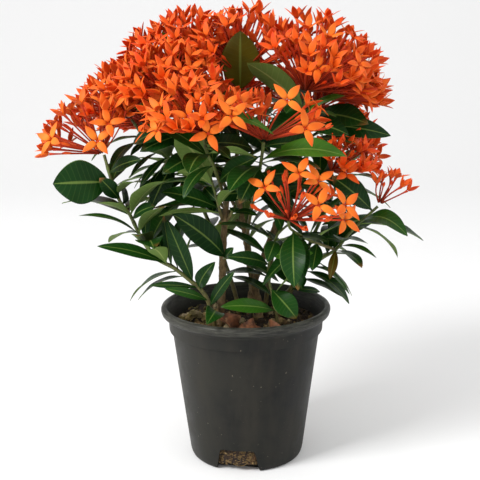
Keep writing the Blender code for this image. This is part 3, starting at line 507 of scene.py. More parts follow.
# Leaves in view, by shoot: share of its length, tip, width, the angle of the upper side from straight up
# towards the viewer, rise of the back, and colour: 0 dark green, 0.5 fresh green, 1 olive brown.
LEAVES = {
    "a": [(0.88, (-172, -48, 279), 40, 75, 0.05, 0.1), (0.8, (-133, -36, 282), 15, 60, 0.1, 0.1),
          (0.77, (-111, -10, 275), 16, -50, 0.05, 0.1), (0.75, (-87, -30, 263), 9, -40, 0.05, 0.1),
          (0.62, (-149, -55, 251), 10, 12, 0.12, 0.2), (0.58, (-90, -30, 257), 9, 60, 0.05, 0.1),
          (0.45, (-136, -60, 218), 14, 40, 0.08, 0.2), (0.43, (-74, -48, 249), 8, 60, 0.05, 0.1),
          (0.31, (-70, -56, 246), 16, 70, 0.06, 0.1), (0.28, (-85, -60, 189), 7, 60, 0.1, 0.1),
          (0.21, (-67, -66, 191), 9, 60, 0.1, 0.3), (0.13, (-38, -88, 153), 18, 70, 0.18, 0.2),
          (0.27, (-28, -50, 206), 14, 50, 0.3, 0.1), (0.18, (-15, -64, 198), 11, 55, 0.1, 0.1),
          (0.56, (-85, -52, 233), 6, -30, 0.0, 0.1)],
    "top_left": [(0.97, (-60, -55, 323), 34, -50, 0.1, 0.3), (0.88, (-59, -66, 292), 20, -40, 0.1, 0.3),
                 (0.3, (-70, -60, 277), 20, 45, 0.08, 0.1), (0.18, (-67, -78, 265), 10, -50, 0.05, 0.1),
                 (0.5, (-36, -30, 275), 12, 80, 0.05, 0.1)],
    "top_right": [(0.25, (11, -50, 249), 9, 30, 0.1, 0.1), (0.45, (-3, -52, 249), 9, -20, 0.1, 0.1),
                  (0.95, (12, -50, 283), 20, 60, 0.05, 0.1), (0.85, (-6, -48, 301), 20, 70, 0.05, 0.1)],
    "low_left": [(0.6, (-64, -72, 255), 26, 55, 0.1, 0.0), (0.7, (-10, -52, 221), 10, 60, 0.1, 0.1)],
    "front": [(0.25, (-18, -62, 171), 15, 50, 0.1, 0.4), (0.42, (47, -46, 150), 30, 60, 0.1, 0.4),
              (0.62, (-16, -58, 213), 14, 60, 0.12, 0.1), (0.7, (56, -62, 223), 15, 60, 0.05, 0.5),
              (0.84, (19, -64, 209), 14, 70, 0.2, 0.2), (0.97, (25, -70, 255), 10, 60, 0.1, 0.2)],
    "l": [(0.42, (61, -5, 218), 12, 70, 0.05, 0.1), (0.38, (53, -25, 173), 12, 60, 0.1, 0.2),
          (0.53, (97, -35, 174), 8, 0, 0.05, 0.3), (0.68, (122, -30, 204), 7, 20, 0.15, 0.3),
          (0.66, (79, -28, 183), 9, 60, 0.1, 1.0), (0.71, (74, -24, 221), 9, 40, 0.1, 0.1),
          (0.85, (152, -40, 231), 24, 25, 0.25, 0.3), (0.84, (70, -45, 239), 10, 30, 0.1, 0.1),
          (0.98, (160, -10, 266), 12, -20, -0.1, 0.4), (0.96, (100, 5, 288), 24, 60, 0.08, 0.1),
          (0.27, (74, 20, 147), 7, 60, 0.1, 0.1), (0.3, (30, 28, 186), 16, 60, 0.1, 0.1)],
    "g": [(0.86, (23, -100, 328), 17, 20, 0.3, 0.5), (0.78, (9, -92, 307), 14, -40, 0.08, 0.3),
          (0.72, (-82, -60, 334), 16, 40, 0.1, 0.3)],
    "h": [(0.86, (84, -100, 308), 28, 30, 0.12, 0.5), (0.8, (-5, -84, 266), 18, 60, 0.1, 0.1),
          (0.76, (39, -74, 262), 20, 60, 0.1, 0.1)],
    "e": [(0.8, (21, -25, 398), 22, -35, 0.05, 0.8), (0.7, (87, -18, 358), 13, 30, 0.1, 0.5)],
    "d": [(0.85, (-3, 0, 411), 28, 60, 0.05, 0.9)],
    "c": [(0.9, (-75, 15, 411), 14, 50, 0.05, 0.5)],
    "m": [(0.9, (-97, -38, 362), 18, 60, 0.08, 0.4)],
    "b": [(0.83, (-107, -5, 298), 7, 30, 0.05, 0.1), (0.72, (-109, 0, 276), 8, 10, 0.1, 0.1),
          (0.66, (-98, -5, 263), 9, 30, 0.1, 0.1), (0.54, (-111, -5, 244), 10, 20, 0.12, 0.1),
          (0.45, (-101, 5, 227), 12, 30, 0.2, 0.1), (0.6, (-88, -8, 251), 22, 60, 0.1, 0.0)],
    "f": [(0.8, (122, 12, 337), 28, 50, 0.1, 0.1), (0.86, (165, 22, 339), 18, 40, 0.1, 0.2),
          (0.66, (138, 8, 329), 22, 60, 0.1, 0.1)],
    "j": [(0.92, (144, -5, 302), 22, 50, 0.12, 0.2), (0.8, (101, -8, 257), 9, 40, 0.1, 0.1)],
}
LEAF_FOLD = 0.22
CORE_RADIUS = 9.0
PAIR_SPACING = 35.0
PAIR_START = 0.30
PAIR_LENGTH = (56.0, 76.0)
LEAF_CLEARANCE = 4.8
UNDER_HEADS_CLEARANCE = 2.2
FILL_CLEARANCE = 2.6
OLIVE_WIDER = 1.3
BROAD_FRONT_NARROWER = 0.74
TRIES = [(turn, lift, size) for size in (1.0, 0.88, 0.76, 0.64) for turn in (0, 9, -9, 18, -18, 28, -28)
         for lift in (0, 9, -9)]


def shoot_route(name):
    """The shoot's points, ending just under the head that it carries."""
    points = list(SHOOTS[name][0])
    if name in HEADS:
        base, way = np.array(HEADS[name][0], float), unit(HEADS[name][1])
        points.append(tuple(base - way * 0.05))
    return smooth_route(points, 6.0)


def share_point(route, share):
    """The point at that share of a route's length, and the way the route runs there."""
    steps = norm(np.diff(route, axis=0), axis=1)
    along = np.concatenate([[0], np.cumsum(steps)])
    at = share * along[-1]
    i = min(int(np.searchsorted(along, at, side="right")) - 1, len(steps) - 1)
    part = (at - along[i]) / steps[i]
    return route[i] * (1 - part) + route[i + 1] * part, unit(route[i + 1] - route[i])


def leaf_axes(leaf):
    """Length, and the directions along, above and across a leaf."""
    length = norm(leaf["tip"] - leaf["base"])
    ahead = (leaf["tip"] - leaf["base"]) / length
    up = leaf["up"] - ahead * (leaf["up"] @ ahead)
    up = up / norm(up)
    return length, ahead, up, np.cross(ahead, up)


def blade(leaf, u, s):
    """Points of a leaf's middle surface at shares u along it and s across it, from -1 to 1.

    The outline is widest just past the middle and runs out to a point. The midrib rises over the straight
    line from base to tip as a parabola, and the two halves of the blade rise from it as a shallow V."""
    length, ahead, up, across = leaf_axes(leaf)
    half = 0.5 * leaf["width"] * np.sin(math.pi * u ** 1.15) ** 0.8
    rise = leaf["arch"] * length * 4 * u * (1 - u) + LEAF_FOLD * half * np.abs(s)
    return (leaf["base"] + np.multiply.outer(u * length, ahead) + np.multiply.outer(rise, up)
            + np.multiply.outer(s * half, across))


def blade_points(leaf, along=10, across=5):
    """A net of points on the blade, which stands for it when pieces are kept clear of each other."""
    u, s = np.meshgrid(np.linspace(0.2, 1.0, along), np.linspace(-0.95, 0.95, across), indexing="ij")
    return blade(leaf, u.ravel(), s.ravel())


def turned(v, axis, degrees):
    """v turned round an axis."""
    return np.array(Matrix.Rotation(math.radians(degrees), 3, Vector(axis)) @ Vector(v))


def near_a_core(points, clearance):
    """True if any of the points lies within the clearance of a head's knot of stalks."""
    for base, way, reach, _ in HEADS.values():
        radius = CORE_RADIUS * min(1.0, reach / 46)
        middle = np.array(base, float) + unit(way) * (radius + 0.3)
        if norm(points - middle, axis=1).min() < radius + clearance:
            return True
    return False


def over_the_rim(points):
    """True if the points stay clear of the pot and of the soil."""
    radius = norm(points[:, :2], axis=1)
    at_rim = (radius > RIM_INNER_RADIUS - 9) & (radius < RIM_RADIUS + 8)
    return (points[at_rim, 2] > POT_HEIGHT + 3.5).all() and (points[radius < 80, 2] > SOIL_LEVEL + 7).all()


def in_a_head(points, margin=-6.0):
    """True if any of the points lies among the florets of a head."""
    for base, way, reach, _ in HEADS.values():
        off = points - np.array(base, float)
        if ((norm(off, axis=1) < reach + margin) & (off @ unit(way) > -4.0)).any():
            return True
    return False


def settled(leaf, taken, keep_out, clearance=LEAF_CLEARANCE):
    """The leaf as given or, where it would touch what is there, the first of its small turns and cuts
    that stays clear. None if none does."""
    reach = leaf["tip"] - leaf["base"]
    side = unit(np.cross(reach, leaf["up"]))
    around = taken[norm(taken - leaf["base"], axis=1) < 1.4 * norm(reach) + 30]
    for turn, lift, size in TRIES:
        way = turned(turned(reach, leaf["up"], turn), side, lift) * size
        tried = dict(leaf, tip=leaf["base"] + way, width=leaf["width"] * size)
        points = blade_points(tried)
        if not over_the_rim(points) or near_a_core(points, 2.5) or (keep_out and in_a_head(points)):
            continue
        near = around[norm(around - leaf["base"], axis=1) > 9.0]
        gaps = norm(points[:, None] - near[None], axis=2)
        if gaps.min() > clearance:
            return tried
    return None


def settle_all(wanted, taken, clearance=LEAF_CLEARANCE):
    """The wanted leaves that find room, set one after the other, and all the points that are then taken."""
    found = []
    for leaf, keep_out in wanted:
        leaf = settled(leaf, taken, keep_out, clearance)
        if leaf:
            found.append(leaf)
            taken = np.vstack([taken, blade_points(leaf)])
    return found, taken


def pair_leaves(name, seed):
    """Leaves in opposite pairs up a shoot, each pair turned a quarter from the last."""
    draw = np.random.default_rng(seed)
    route = shoot_route(name)
    length = norm(np.diff(route, axis=0), axis=1).sum()
    start = 0.0 if length < 90 else PAIR_START
    count = max(2, round(length * (0.94 - start) / PAIR_SPACING))
    made = []
    for i in range(count):
        share = start + (0.94 - start) * (i + 0.6) / count
        point, way = share_point(route, share)
        first = unit(np.cross(way, (0.3, 1.0, 0.1)))
        for half in (0, 180):
            out = turned(first, way, 90 * i + half + draw.uniform(-20, 20))
            ahead = unit(out + 0.35 * way + np.array([0, 0, draw.uniform(-0.15, 0.3)]))
            size = draw.uniform(*PAIR_LENGTH)
            made.append(dict(shoot=name, base=point, tip=point + ahead * size,
                             width=size * draw.uniform(0.34, 0.42), up=np.array([0, 0, 1.0]) + 0.3 * way,
                             arch=draw.uniform(0.04, 0.12), hue=0.15))
    return made


routes = {name: shoot_route(name) for name in SHOOTS}
taken = np.vstack([smooth_route(points, 4.0) for points, _, _ in WOOD.values()]
                  + [smooth_route(route, 4.0) for route in routes.values()])
wanted = []
for name, own in LEAVES.items():
    for share, tip, width, face, arch, hue in own:
        angle = math.radians(face)
        wanted.append((dict(shoot=name, base=share_point(routes[name], share)[0], tip=np.array(tip, float),
                            width=width, up=np.array([0.02, -math.sin(angle), math.cos(angle)]),
                            arch=arch, hue=hue), False))
wanted.sort(key=lambda pair: -pair[0]["width"])
for seed, name in enumerate(SHOOTS):
    if name in HEADS:
        wanted += [(leaf, True) for leaf in pair_leaves(name, seed)]
leaves, taken = settle_all(wanted, taken)

# More leaves fill the gaps in the middle of the bush: first some listed under the front heads, then pairs.
UNDER_HEADS = [
    ("g", 0.97, (-80, -50, 318), 20), ("g", 0.90, (5, -40, 298), 20), ("h", 0.97, (60, -45, 312), 22),
    ("h", 0.90, (-25, -40, 300), 20), ("h", 0.70, (60, -50, 285), 22), ("h", 0.60, (50, -40, 262), 18),
    ("h", 0.50, (-25, -30, 255), 18), ("m", 0.80, (-100, -40, 318), 20), ("m", 0.70, (-95, -30, 300), 18),
    ("m", 0.50, (-75, -35, 285), 20), ("m", 0.40, (-10, -40, 290), 18), ("e", 0.60, (95, -20, 318), 22),
    ("e", 0.50, (15, -10, 325), 22), ("e", 0.75, (20, -30, 318), 20), ("d", 0.40, (-40, -10, 300), 20),
    ("d", 0.50, (35, -15, 310), 22), ("c", 0.40, (-70, -5, 305), 20), ("c", 0.50, (-20, -10, 330), 20),
    ("j", 0.50, (70, -30, 255), 16), ("j", 0.40, (35, -30, 265), 18), ("l", 0.50, (40, -30, 210), 16),
    ("f", 0.40, (95, -5, 290), 18), ("b", 0.35, (-60, -20, 270), 18), ("b", 0.30, (-30, -15, 245), 16),
    ("k", 0.30, (60, -60, 200), 14), ("a", 0.92, (-92, -50, 300), 16), ("a", 0.70, (-85, -60, 262), 14),
]
wanted = []
for seed, (name, share, tip, width) in enumerate(UNDER_HEADS):
    wanted.append((dict(shoot=name, base=share_point(routes[name], share)[0], tip=np.array(tip, float),
                        width=width, up=np.array([0.02, -0.75, 0.65]), arch=0.08,
                        hue=0.05 * (seed % 5)), False))
found, taken = settle_all(wanted, taken, UNDER_HEADS_CLEARANCE)
leaves += found
wanted = []
for seed, name in enumerate(SHOOTS):
    draw = np.random.default_rng(300 + seed)
    length = norm(np.diff(routes[name], axis=0), axis=1).sum()
    for share in np.arange(0.36, 0.92, 20.0 / length):
        point, way = share_point(routes[name], share)
        first = unit(np.cross(way, (0.3, 1.0, 0.1)))
        for half in (0, 180):
            out = turned(first, way, 90 * round(share * 12) + half + draw.uniform(-30, 30))
            ahead, size = unit(out + 0.35 * way + [0, 0, draw.uniform(-0.3, 0.3)]), draw.uniform(44, 62)
            wanted.append((dict(shoot=name, base=point, tip=point + ahead * size,
                                width=size * draw.uniform(0.3, 0.4), up=np.array([0, 0, 1.0]) + 0.3 * way,
                                arch=draw.uniform(0.04, 0.12), hue=draw.uniform(0, 0.25)), True))
found, taken = settle_all(wanted, taken, FILL_CLEARANCE)
leaves += found

# The two olive leaves near the top are wider than their plan, and the broad leaf low in front is narrower.
olive = [leaf for leaf in leaves if leaf["hue"] >= 0.8 and leaf["shoot"] in "de"]
for leaf in olive:
    leaf["width"] *= OLIVE_WIDER
for leaf in leaves:
    if leaf["shoot"] == "front" and leaf["width"] > 24:
        leaf.update(width=leaf["width"] * BROAD_FRONT_NARROWER, hue=0.25)

leaf_skin, tree, shader, place = new_material("leaf")
along, across, face, hue = (attribute(tree, key) for key in ("along", "across", "face", "hue"))
shades = ramped(tree, hue, (10, 44, 12), (98, 74, 14), (0.25, (24, 66, 14)), (0.5, (58, 104, 22)),
                (0.75, (78, 90, 14)))
blotches = ranged(tree, noise(tree, place, 45.0, 3.0), 0.3, 0.7, 0.0, 0.5)
upper = mixed(tree, blotches, shades, mixed(tree, 1.0, shades, (0.45, 0.6, 0.4, 1.0), "MULTIPLY"))
width_share = maths(tree, "ABSOLUTE", across)
rib = ranged(tree, width_share, 0.03, 0.09, 1.0, 0.0)
slanted = maths(tree, "ADD", along, times(tree, width_share, -0.12))
veins = ranged(tree, maths(tree, "SINE", times(tree, slanted, 75.0)), 0.80, 1.0)
upper = mixed(tree, times(tree, veins, 0.07), upper, srgb(110, 150, 70))
upper = mixed(tree, times(tree, rib, 0.4), upper, srgb(140, 165, 80))
lower = mixed(tree, times(tree, rib, 0.6), srgb(98, 122, 58), srgb(160, 170, 100))
lower = mixed(tree, times(tree, veins, 0.3), lower, srgb(128, 148, 78))
scorched = times(tree, ranged(tree, along, 0.86, 0.97), ranged(tree, noise(tree, place, 22.0), 0.56, 0.64))
colour = mixed(tree, ranged(tree, face, 0.4, 0.6), lower, upper)
fill(tree, shader, {"Base Color": mixed(tree, scorched, colour, srgb(120, 82, 40)),
                    "Roughness": ranged(tree, face, 0.4, 0.6, 0.6, 0.36), "Specular IOR Level": 0.16})
bumped(tree, shader, maths(tree, "ADD", rib, veins), 0.15, 0.0006)

twig_skin, tree, shader, place = new_material("green_twig")
old = attribute(tree, "old")
colour = mixed(tree, old, srgb(96, 112, 48), srgb(112, 84, 50))
colour = mixed(tree, ranged(tree, noise(tree, place, 300.0, 4.0), 0.4, 0.7), colour, srgb(70, 66, 34))
fill(tree, shader, {"Base Color": colour, "Roughness": 0.55})

LEAF_ROWS = 20
LEAF_RING = 18


def leaf_skin_points(leaf, seed, fold=LEAF_FOLD, waviness=0.02):
    """Points of a whole leaf as one closed body: rows along it, and in each row a flat ring of points
    that runs over the upper side and back under the lower one. The blade is the one that its plan gives,
    with a short stalk, a wavy edge, a curved cross-section and a drooping tip."""
    draw = np.random.default_rng(seed)
    length, ahead, up, side = leaf_axes(leaf)
    u = np.linspace(0.0, 1.0, LEAF_ROWS)[:, None] ** 0.9
    a = np.arange(LEAF_RING)[None] / LEAF_RING * 2 * math.pi
    s = np.cos(a)
    stalk_half, blade_u = 0.9, np.clip((u - 0.05) / 0.95, 0, 1)
    half = 0.5 * leaf["width"] * (np.sin(math.pi * blade_u ** 1.12) ** 0.72) * (1 - 0.10 * blade_u ** 6)
    half = np.maximum(half, stalk_half * (1 - u) + 0.15 * u)
    thick = np.where(u < 0.08, 0.8, 0.28) * np.minimum(1.0, 0.35 + half / 4)
    waves = 2 * math.pi * (draw.uniform(1.6, 2.6) * u + draw.uniform()) + np.sign(s) * 1.3
    wave = waviness * leaf["width"] * np.abs(s) ** 2 * np.sin(waves)
    rise = (leaf["arch"] * length * 4 * u * (1 - u) + fold * half * np.abs(s) ** 1.4 * (1.1 - 0.4 * u)
            + wave - draw.uniform(0.0, 0.03) * length * u ** 4)
    rise = rise + thick * np.sin(a)
    p = (leaf["base"] + (u * length)[..., None] * ahead + rise[..., None] * up
         + (s * half)[..., None] * side)
    return p, u + 0 * s, s + 0 * u, (np.sin(a) > 0) + 0 * u


for name, (_, foot, tip) in SHOOTS.items():
    route = smooth_route(routes[name], 2.0)
    t = np.linspace(0, 1, len(route))
    joints = 0.16 * np.exp(-((((t * len(route)) % 14) - 7) / 1.1) ** 2)
    radius = (foot + (tip - foot) * t) * (0.95 + joints)
    woody = np.clip(0.9 - t * 1.6, 0, 1)[None, :, None]
    shown(sweeps("twig_" + name, stalk(route, radius, 12), twig_skin, old=woody), "leaf", "shoot_" + name)
    own = [leaf_skin_points(leaf, 100 + i) + (np.full((LEAF_ROWS, LEAF_RING), leaf["hue"]),)
           for i, leaf in enumerate(leaves) if leaf["shoot"] == name]
    if own:
        p, along, across, face, hue = (np.stack(part)[:, :, ::-1] for part in zip(*own))
        shown(sweeps("leaves_" + name, p, leaf_skin, along=along, across=across, face=face, hue=hue), "leaf")

# Each flower head is a dome of slender orange-red tubes that open into four pointed petals. The tubes are
# fixed to a branched knot of short red stalks at the tip of the shoot. Some florets are still in bud.
FLORETS = {"a": 46, "b": 60, "c": 68, "d": 66, "e": 74, "f": 58, "g": 72, "h": 76, "j": 26, "k": 22, "l": 6,
           "m": 62, "n": 56, "p": 56, "q": 56, "r": 40}
IN_BUD = {"k": 0.92, "h": 0.12, "j": 0.2}
OLDER = {"a": 0.55, "b": 0.35, "c": 0.25, "d": 0.15, "e": 0.35, "f": 0.45, "g": 0.45, "h": 0.35, "j": 0.1,
         "k": 0.25, "l": 0.2, "m": 0.4}
WIDE_OPEN = {"a": 0.35, "g": 0.25, "h": 0.25, "j": 0.3, "k": 0.9, "l": 0.0}
BUDS = {"a": 22, "k": 10, "j": 12, "l": 2}
SMALL = {"l": 0.8}
TALLER = {"c": 1.08, "d": 1.12, "e": 1.18, "r": 0.8}
PETAL_LENGTH = 15.5
PETAL_HALF_WIDTH = 3.1
PETAL_ROWS = 7
PETAL_RING = 8
FROM_LEAF = 5.0
FROM_FLORET = 9.0
FROM_HAND_SET = 12.0
GOLDEN_ANGLE = math.radians(137.508)

petal_skin, tree, shader, place = new_material("flower")
along, age, face, part, edge = (attribute(tree, key) for key in ("along", "age", "face", "part", "edge"))
young = mixed(tree, along, srgb(232, 86, 8), srgb(214, 50, 8))
old_tone = mixed(tree, along, srgb(244, 140, 40), srgb(230, 92, 22))
petal = mixed(tree, age, young, old_tone)
petal = mixed(tree, ranged(tree, face, 0.4, 0.6, 0.6, 0.0), petal, srgb(198, 46, 12))
# The petal edges are lightened: partly their own paler colour, partly a painted highlight where light catches
# them.
petal = mixed(tree, ranged(tree, edge, 0.55, 1.0, 0.0, 0.4), petal, srgb(250, 140, 62))
patches = ranged(tree, noise(tree, place, 140.0, 3.0), 0.45, 0.75, 0.0, 0.25)
petal = mixed(tree, patches, petal, srgb(248, 132, 40))
petal = mixed(tree, ranged(tree, along, 0.0, 0.22, 0.5, 0.0), petal, srgb(190, 50, 10))
tube_tone = mixed(tree, along, srgb(140, 44, 22), srgb(200, 62, 24))
colour = mixed(tree, ranged(tree, part, 0.4, 0.6), tube_tone, petal)
fill(tree, shader, {"Base Color": colour, "Roughness": 0.55, "Specular IOR Level": 0.2})

# Florets that open wide towards the viewer: their mouths, measured from the base of the head.
FACING = {
    "a": [(-1, -30, 16), (9, -28, 31), (-44, -16, 16)],
    "e": [(8, -42, 24)],
    "g": [(6, -42, 5), (25, -44, 19)],
    "h": [(18, -40, 38), (33, -36, 15)],
    "k": [(-21, -20, 33), (7, -23, 45), (23, -33, 20), (46, -19, 17), (24, -15, 37), (46, -16, 4)],
}
# Sides on which the florets have fallen, so that the tubes behind show: the way they face, the share of it
# that a floret's own way has, and the rise below which they are gone.
THIN_SIDE = {"a": ((0, -1, 0), 0.40, 0.80), "h": ((0.4, -1, 0), 0.45, 0.62), "r": ((1, -0.6, 0), 0.30, 0.95)}


def square_to(ahead):
    """Two directions for each of those given, square to it and to each other."""
    first = np.cross(ahead, np.where(np.abs(ahead[:, 2:]) < 0.9, (0.31, 0.17, 0.93), (0.9, 0.3, 0.1)))
    first /= norm(first, axis=1, keepdims=True)
    return first, np.cross(ahead, first)


def rounded(middle, f1, f2, angle, radius):
    """Points of tubes round middle lines: at each row a ring of that radius, in the plane of f1 and f2."""
    ring = f1[:, None, None] * np.cos(angle)[..., None] + f2[:, None, None] * np.sin(angle)[..., None]
    return middle + ring * radius[..., None]


def per_petal(values, count):
    """Values spread over the four petals of each of the florets, with one body to a petal."""
    shape = (count, 4, PETAL_ROWS, PETAL_RING)
    return np.broadcast_to(values, shape).reshape(count * 4, PETAL_ROWS, PETAL_RING)


def nearest(points, others):
    """Distance from each of the points to the nearest of the others."""
    return norm(points[:, None] - others[None], axis=2).min(axis=1)


leaf_net = np.vstack([blade_points(leaf, 12, 3) for leaf in leaves])
# Florets that open by chance are kept off the two olive leaves, as seen from the front.
show_net = np.vstack([blade_points(leaf, 12, 5) for leaf in olive])
others = np.zeros((0, 3))
for seed, (name, (base, way, reach, spread)) in enumerate(HEADS.items()):
    draw = np.random.default_rng(200 + seed)
    base, way, count = np.array(base, float), unit(way), FLORETS[name]
    e1 = unit(np.cross(way, (0.2, 0.9, 0.3)))
    e2 = np.cross(way, e1)
    i = np.arange(count)
    cap = 1 - math.cos(math.radians(spread))
    cos_lean = np.clip(1 - (i + 0.5) / count * cap + draw.uniform(-0.03, 0.03, count), -0.2, 1)
    sin_lean = np.sqrt(1 - cos_lean ** 2)
    turn = i * GOLDEN_ANGLE + seed + draw.uniform(-0.12, 0.12, count)
    ahead = (way * cos_lean[:, None] + e1 * (np.cos(turn) * sin_lean)[:, None]
             + e2 * (np.sin(turn) * sin_lean)[:, None])
    least = draw.uniform(0.1, 0.42, count)
    ahead[:, 2] = np.where(ahead[:, 2] < least, least + (ahead[:, 2] - least) * 0.4, ahead[:, 2])
    ahead /= norm(ahead, axis=1, keepdims=True)
    mouth = base + ahead * (reach * TALLER.get(name, 1.0) * draw.uniform(0.88, 1.06, count))[:, None]
    clear = nearest(mouth, leaf_net) > FROM_LEAF
    off = mouth[:, None] - show_net[None]
    clear &= ~((np.hypot(off[..., 0], off[..., 2]) < 7) & (off[..., 1] < 6)).any(axis=1)
    if len(others):
        clear &= nearest(mouth, others) > FROM_FLORET
    by_hand = np.array(FACING.get(name, [])).reshape(-1, 3)
    if name in THIN_SIDE:
        slant, most, least = THIN_SIDE[name]
        clear &= ~((ahead @ unit(slant) > most) & (ahead[:, 2] < least))
    if len(by_hand):
        clear &= nearest(mouth, base + by_hand) > FROM_HAND_SET
    mouth, ahead = np.vstack([base + by_hand, mouth[clear]]), np.vstack([by_hand, ahead[clear]])
    ahead = ahead / norm(ahead, axis=1, keepdims=True)
    faced = np.arange(len(mouth)) < len(by_hand)
    others = np.vstack([others, mouth])
    count = len(mouth)
    root = base + way * 2.0 + ahead * 3.0
    line = mouth - root
    long = norm(line, axis=1)
    ahead = line / long[:, None]
    f1, f2 = square_to(ahead)
    bend = draw.uniform(-2.5, 2.5, (count, 1, 1, 1))
    age = np.clip(OLDER.get(name, 0.3) + draw.normal(0, 0.22, count), 0, 1)
    age = np.where(faced, draw.uniform(0.6, 1.0, count), age)
    in_bud = (draw.uniform(0, 1, count) < IN_BUD.get(name, 0.06)) & ~faced
    # The tube, as 9 rows of 6 points on a slightly bowed line, thicker at the stalk and at the mouth.
    t = np.linspace(0, 1, 9)[None, :, None]
    a = np.arange(6)[None, None] / 6 * 2 * math.pi
    radius = 0.72 + 0.5 * np.clip(1 - t * 5, 0, 1) + 0.75 * np.clip(t * 4 - 3, 0, 1) ** 2
    bowed = f1[:, None, None] * (bend * (4 * t * (1 - t))[..., None])
    tube = rounded(root[:, None, None] + line[:, None, None] * t[..., None] + bowed, f1, f2, a, radius)
    # Closed buds, as 12 rows of 6 points, start from the same knot as some of the florets.
    pick = draw.choice(count, min(count, BUDS.get(name, 40)), replace=False)
    offset = draw.uniform(-4.5, 4.5, (len(pick), 3))
    bud_end = root[pick] + line[pick] * draw.uniform(0.72, 1.05, (len(pick), 1)) + offset
    bud_line = (bud_end - root[pick])[:, None, None]
    tb = np.linspace(0, 1, 12)[None, :, None]
    swell = 0.6 + 1.1 * np.exp(-((tb - 0.87) / 0.085) ** 2) - 0.55 * np.clip(tb * 12 - 11, 0, 1)
    bud = rounded(root[pick][:, None, None] + bud_line * tb[..., None], f1[pick], f2[pick], a, swell)
    shown(sweeps("buds_" + name, bud, petal_skin, along=tb, age=age[pick][:, None, None] * 0.6, face=1.0,
                 part=np.clip(tb * 6 - 4, 0, 1), edge=0.0), "flower")
    # The florets turn up to the light, so each opens about a line between its tube's and straight up.
    lift = np.array([0, 0, 1.0]) * draw.uniform(0.15, 0.75, (count, 1))
    ahead = ahead + np.where(faced[:, None], (0, -0.9, 0.5), lift)
    ahead /= norm(ahead, axis=1, keepdims=True)
    f1, f2 = square_to(ahead)
    tubes = sweeps("tubes_" + name, tube, petal_skin, along=t, age=age[:, None, None], face=1.0, part=0.0,
                   edge=0.0)
    # Four petals, each 7 rows of 8 points: they leave the throat upright and bend out to the floret's own
    # opening. Their outline is an oval that runs out to a point, and they are keeled.
    shut, half_open = draw.uniform(2, 7, count), draw.uniform(20, 52, count)
    wide = draw.uniform(0, 1, count) < WIDE_OPEN.get(name, 0.2)
    opening = np.where(faced, 80, np.where(in_bud, shut, half_open + 36 * wide))[:, None, None, None]
    size = np.where(in_bud, 0.5, np.where(faced, 1.12, draw.uniform(0.88, 1.1, count)))
    size = SMALL.get(name, 1.0) * size[:, None, None, None]
    u = np.linspace(0, 1, PETAL_ROWS)[None, None, :, None]
    bent = 15 + (opening - 15) * np.minimum(1.0, u * 2.4) + 14 * u ** 3
    lean = np.radians(np.where(opening < 10, opening, bent))
    grow = np.where(u > 0, 1.0, 0.0) * (PETAL_LENGTH * size / (PETAL_ROWS - 1))
    out = 0.9 + np.cumsum(np.sin(lean) * grow, axis=2)
    rise = np.cumsum(np.cos(lean) * grow, axis=2)
    a = np.arange(PETAL_RING)[None, None, None] / PETAL_RING * 2 * math.pi
    outline = np.maximum(0.05, np.sin(math.pi * u ** 0.88) ** 0.88 + 0.15 * (1 - u) ** 2)
    half = PETAL_HALF_WIDTH * size * outline
    across = np.cos(a) * half
    thick = 0.28 * np.sin(a) * np.minimum(1.0, half / 1.2) - 0.10 * np.abs(np.cos(a)) * half
    spin = (draw.uniform(0, math.pi / 2, count)[:, None] + np.arange(4)[None] * math.pi / 2
            + draw.normal(0, 0.06, (count, 4)))
    e = (f1[:, None] * np.cos(spin)[..., None] + f2[:, None] * np.sin(spin)[..., None])[:, :, None, None]
    side = np.cross(ahead[:, None, None, None], e)
    up = e * -np.cos(lean)[..., None] + ahead[:, None, None, None] * np.sin(lean)[..., None]
    petals = (mouth[:, None, None, None] + e * out[..., None] + ahead[:, None, None, None] * rise[..., None]
              + side * across[..., None] + up * thick[..., None])
    ages = np.clip(age[:, None] + draw.normal(0, 0.06, (count, 4)), 0, 1)[..., None, None]
    # edge marks the petal edges, which carry a paler colour and a painted highlight.
    bloom = sweeps("petals_" + name, petals.reshape(count * 4, PETAL_ROWS, PETAL_RING, 3), petal_skin,
                   along=per_petal(u, count), age=per_petal(ages, count), part=1.0,
                   face=per_petal(np.sin(a) > -0.1, count), edge=per_petal(np.abs(np.cos(a)), count))
    shown(bloom, "flower", "head_" + name)
    shown(tubes, "flower")

# The dry leaves fell from the plant and curled up as they dried. They lie on the soil against the front of
# the rim. They are brown and brittle, with a lighter midrib.
LITTER = [
    ("dry_leaf_1", (-8, -44, 151), (-26, -58, 176), 17, (0.3, -0.7, 0.6)),
    ("dry_leaf_2", (16, -46, 153), (-8, -66, 167), 15, (0, -0.4, 0.9)),
    ("dry_leaf_3", (20, -44, 153), (29, -61, 168), 12, (-0.3, -0.5, 0.8)),
]
dead_leaf, tree, shader, place = new_material("dry_leaf")
mottle = noise(tree, place, 170.0, 5.0)
colour = mixed(tree, ranged(tree, mottle, 0.35, 0.68), srgb(62, 36, 20), srgb(138, 84, 50))
colour = mixed(tree, ranged(tree, noise(tree, place, 120.0), 0.55, 0.7), colour, srgb(168, 122, 84))
fill(tree, shader, {"Base Color": colour, "Roughness": 0.75})
for number, (name, base, tip, width, up) in enumerate(LITTER):
    leaf = dict(base=np.array(base, float), tip=np.array(tip, float), width=width, up=np.array(up), arch=0.14)
    p = leaf_skin_points(leaf, 500 + number, 0.95, 0.14)[0]
    old_box = np.array([vert.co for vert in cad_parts[name].data.vertices]) / MM
    p += (old_box.min(axis=0) + old_box.max(axis=0) - p.min(axis=(0, 1)) - p.max(axis=(0, 1))) / 2
    shown(sweeps("dead_leaf_" + name[-1], p[None, :, ::-1], dead_leaf), "dry_leaf", name)

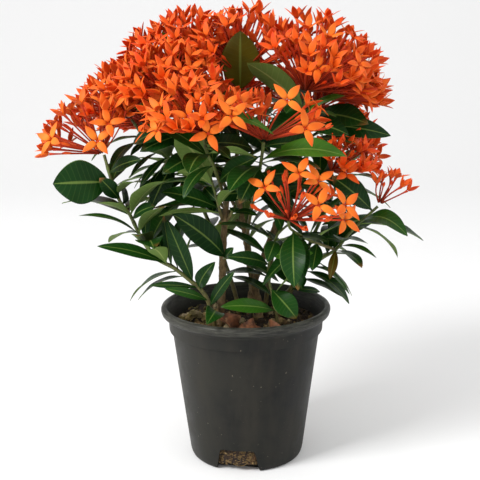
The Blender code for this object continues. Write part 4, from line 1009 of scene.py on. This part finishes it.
# The stage: a plain pale floor that sweeps up behind into a wall, a bright even sky and large soft lamps,
# with the camera at the height of the flowers, looking slightly down.
floor_paint, tree, shader, place = new_material("floor_paint")
fill(tree, shader, {"Base Color": (0.93, 0.93, 0.93, 1.0), "Roughness": 0.95})
bend = np.linspace(0, math.pi / 2, 24)
sweep_y = np.concatenate([[-4.0], 1.6 + 1.5 * np.sin(bend), [3.1]])
sweep_z = np.concatenate([[0.0], 1.5 - 1.5 * np.cos(bend), [6.0]])
corners = np.stack([np.tile([[-6.0, 6.0]], (26, 1)), np.repeat(sweep_y[:, None], 2, 1),
                    np.repeat(sweep_z[:, None], 2, 1)], -1)
rows = np.arange(25)[:, None] * 2
mesh = bpy.data.meshes.new("floor")
mesh.from_pydata(corners.reshape(-1, 3).tolist(), [], (rows + [0, 1, 3, 2]).tolist())
mesh.polygons.foreach_set("use_smooth", np.ones(25, bool))
mesh.materials.append(floor_paint)
floor = linked(bpy.data.objects.new("floor", mesh))
floor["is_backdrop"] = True

world = bpy.data.worlds.new("studio")
world.use_nodes = True
world.node_tree.nodes["Background"].inputs["Color"].default_value = (1.0, 1.0, 1.0, 1.0)
world.node_tree.nodes["Background"].inputs["Strength"].default_value = 0.82
bpy.context.scene.world = world

for name, spot, size, watts in (("key", (-1.3, -0.9, 1.5), 0.7, 34.0), ("fill", (1.4, -0.8, 0.9), 1.0, 3.0)):
    lamp = bpy.data.lights.new(name, "AREA")
    lamp.size, lamp.energy = size, watts
    lamp_object = linked(bpy.data.objects.new(name, lamp))
    lamp_object.location = spot
    lamp_object.rotation_euler = (Vector((0, 0, 0.25)) - Vector(spot)).to_track_quat("-Z", "Y").to_euler()

camera = bpy.data.cameras.new("camera")
camera.lens, camera.sensor_width = 67.9, 36.0
camera_object = linked(bpy.data.objects.new("camera", camera))
camera_object.matrix_world = (Matrix.Translation((-0.005, -0.850, 0.405))
                              @ Matrix.Rotation(math.radians(77.4), 4, "X")
                              @ Matrix.Rotation(math.radians(-0.5), 4, "Z"))
bpy.context.scene.camera = camera_object
bpy.context.scene.view_settings.view_transform = "Standard"

low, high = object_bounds()
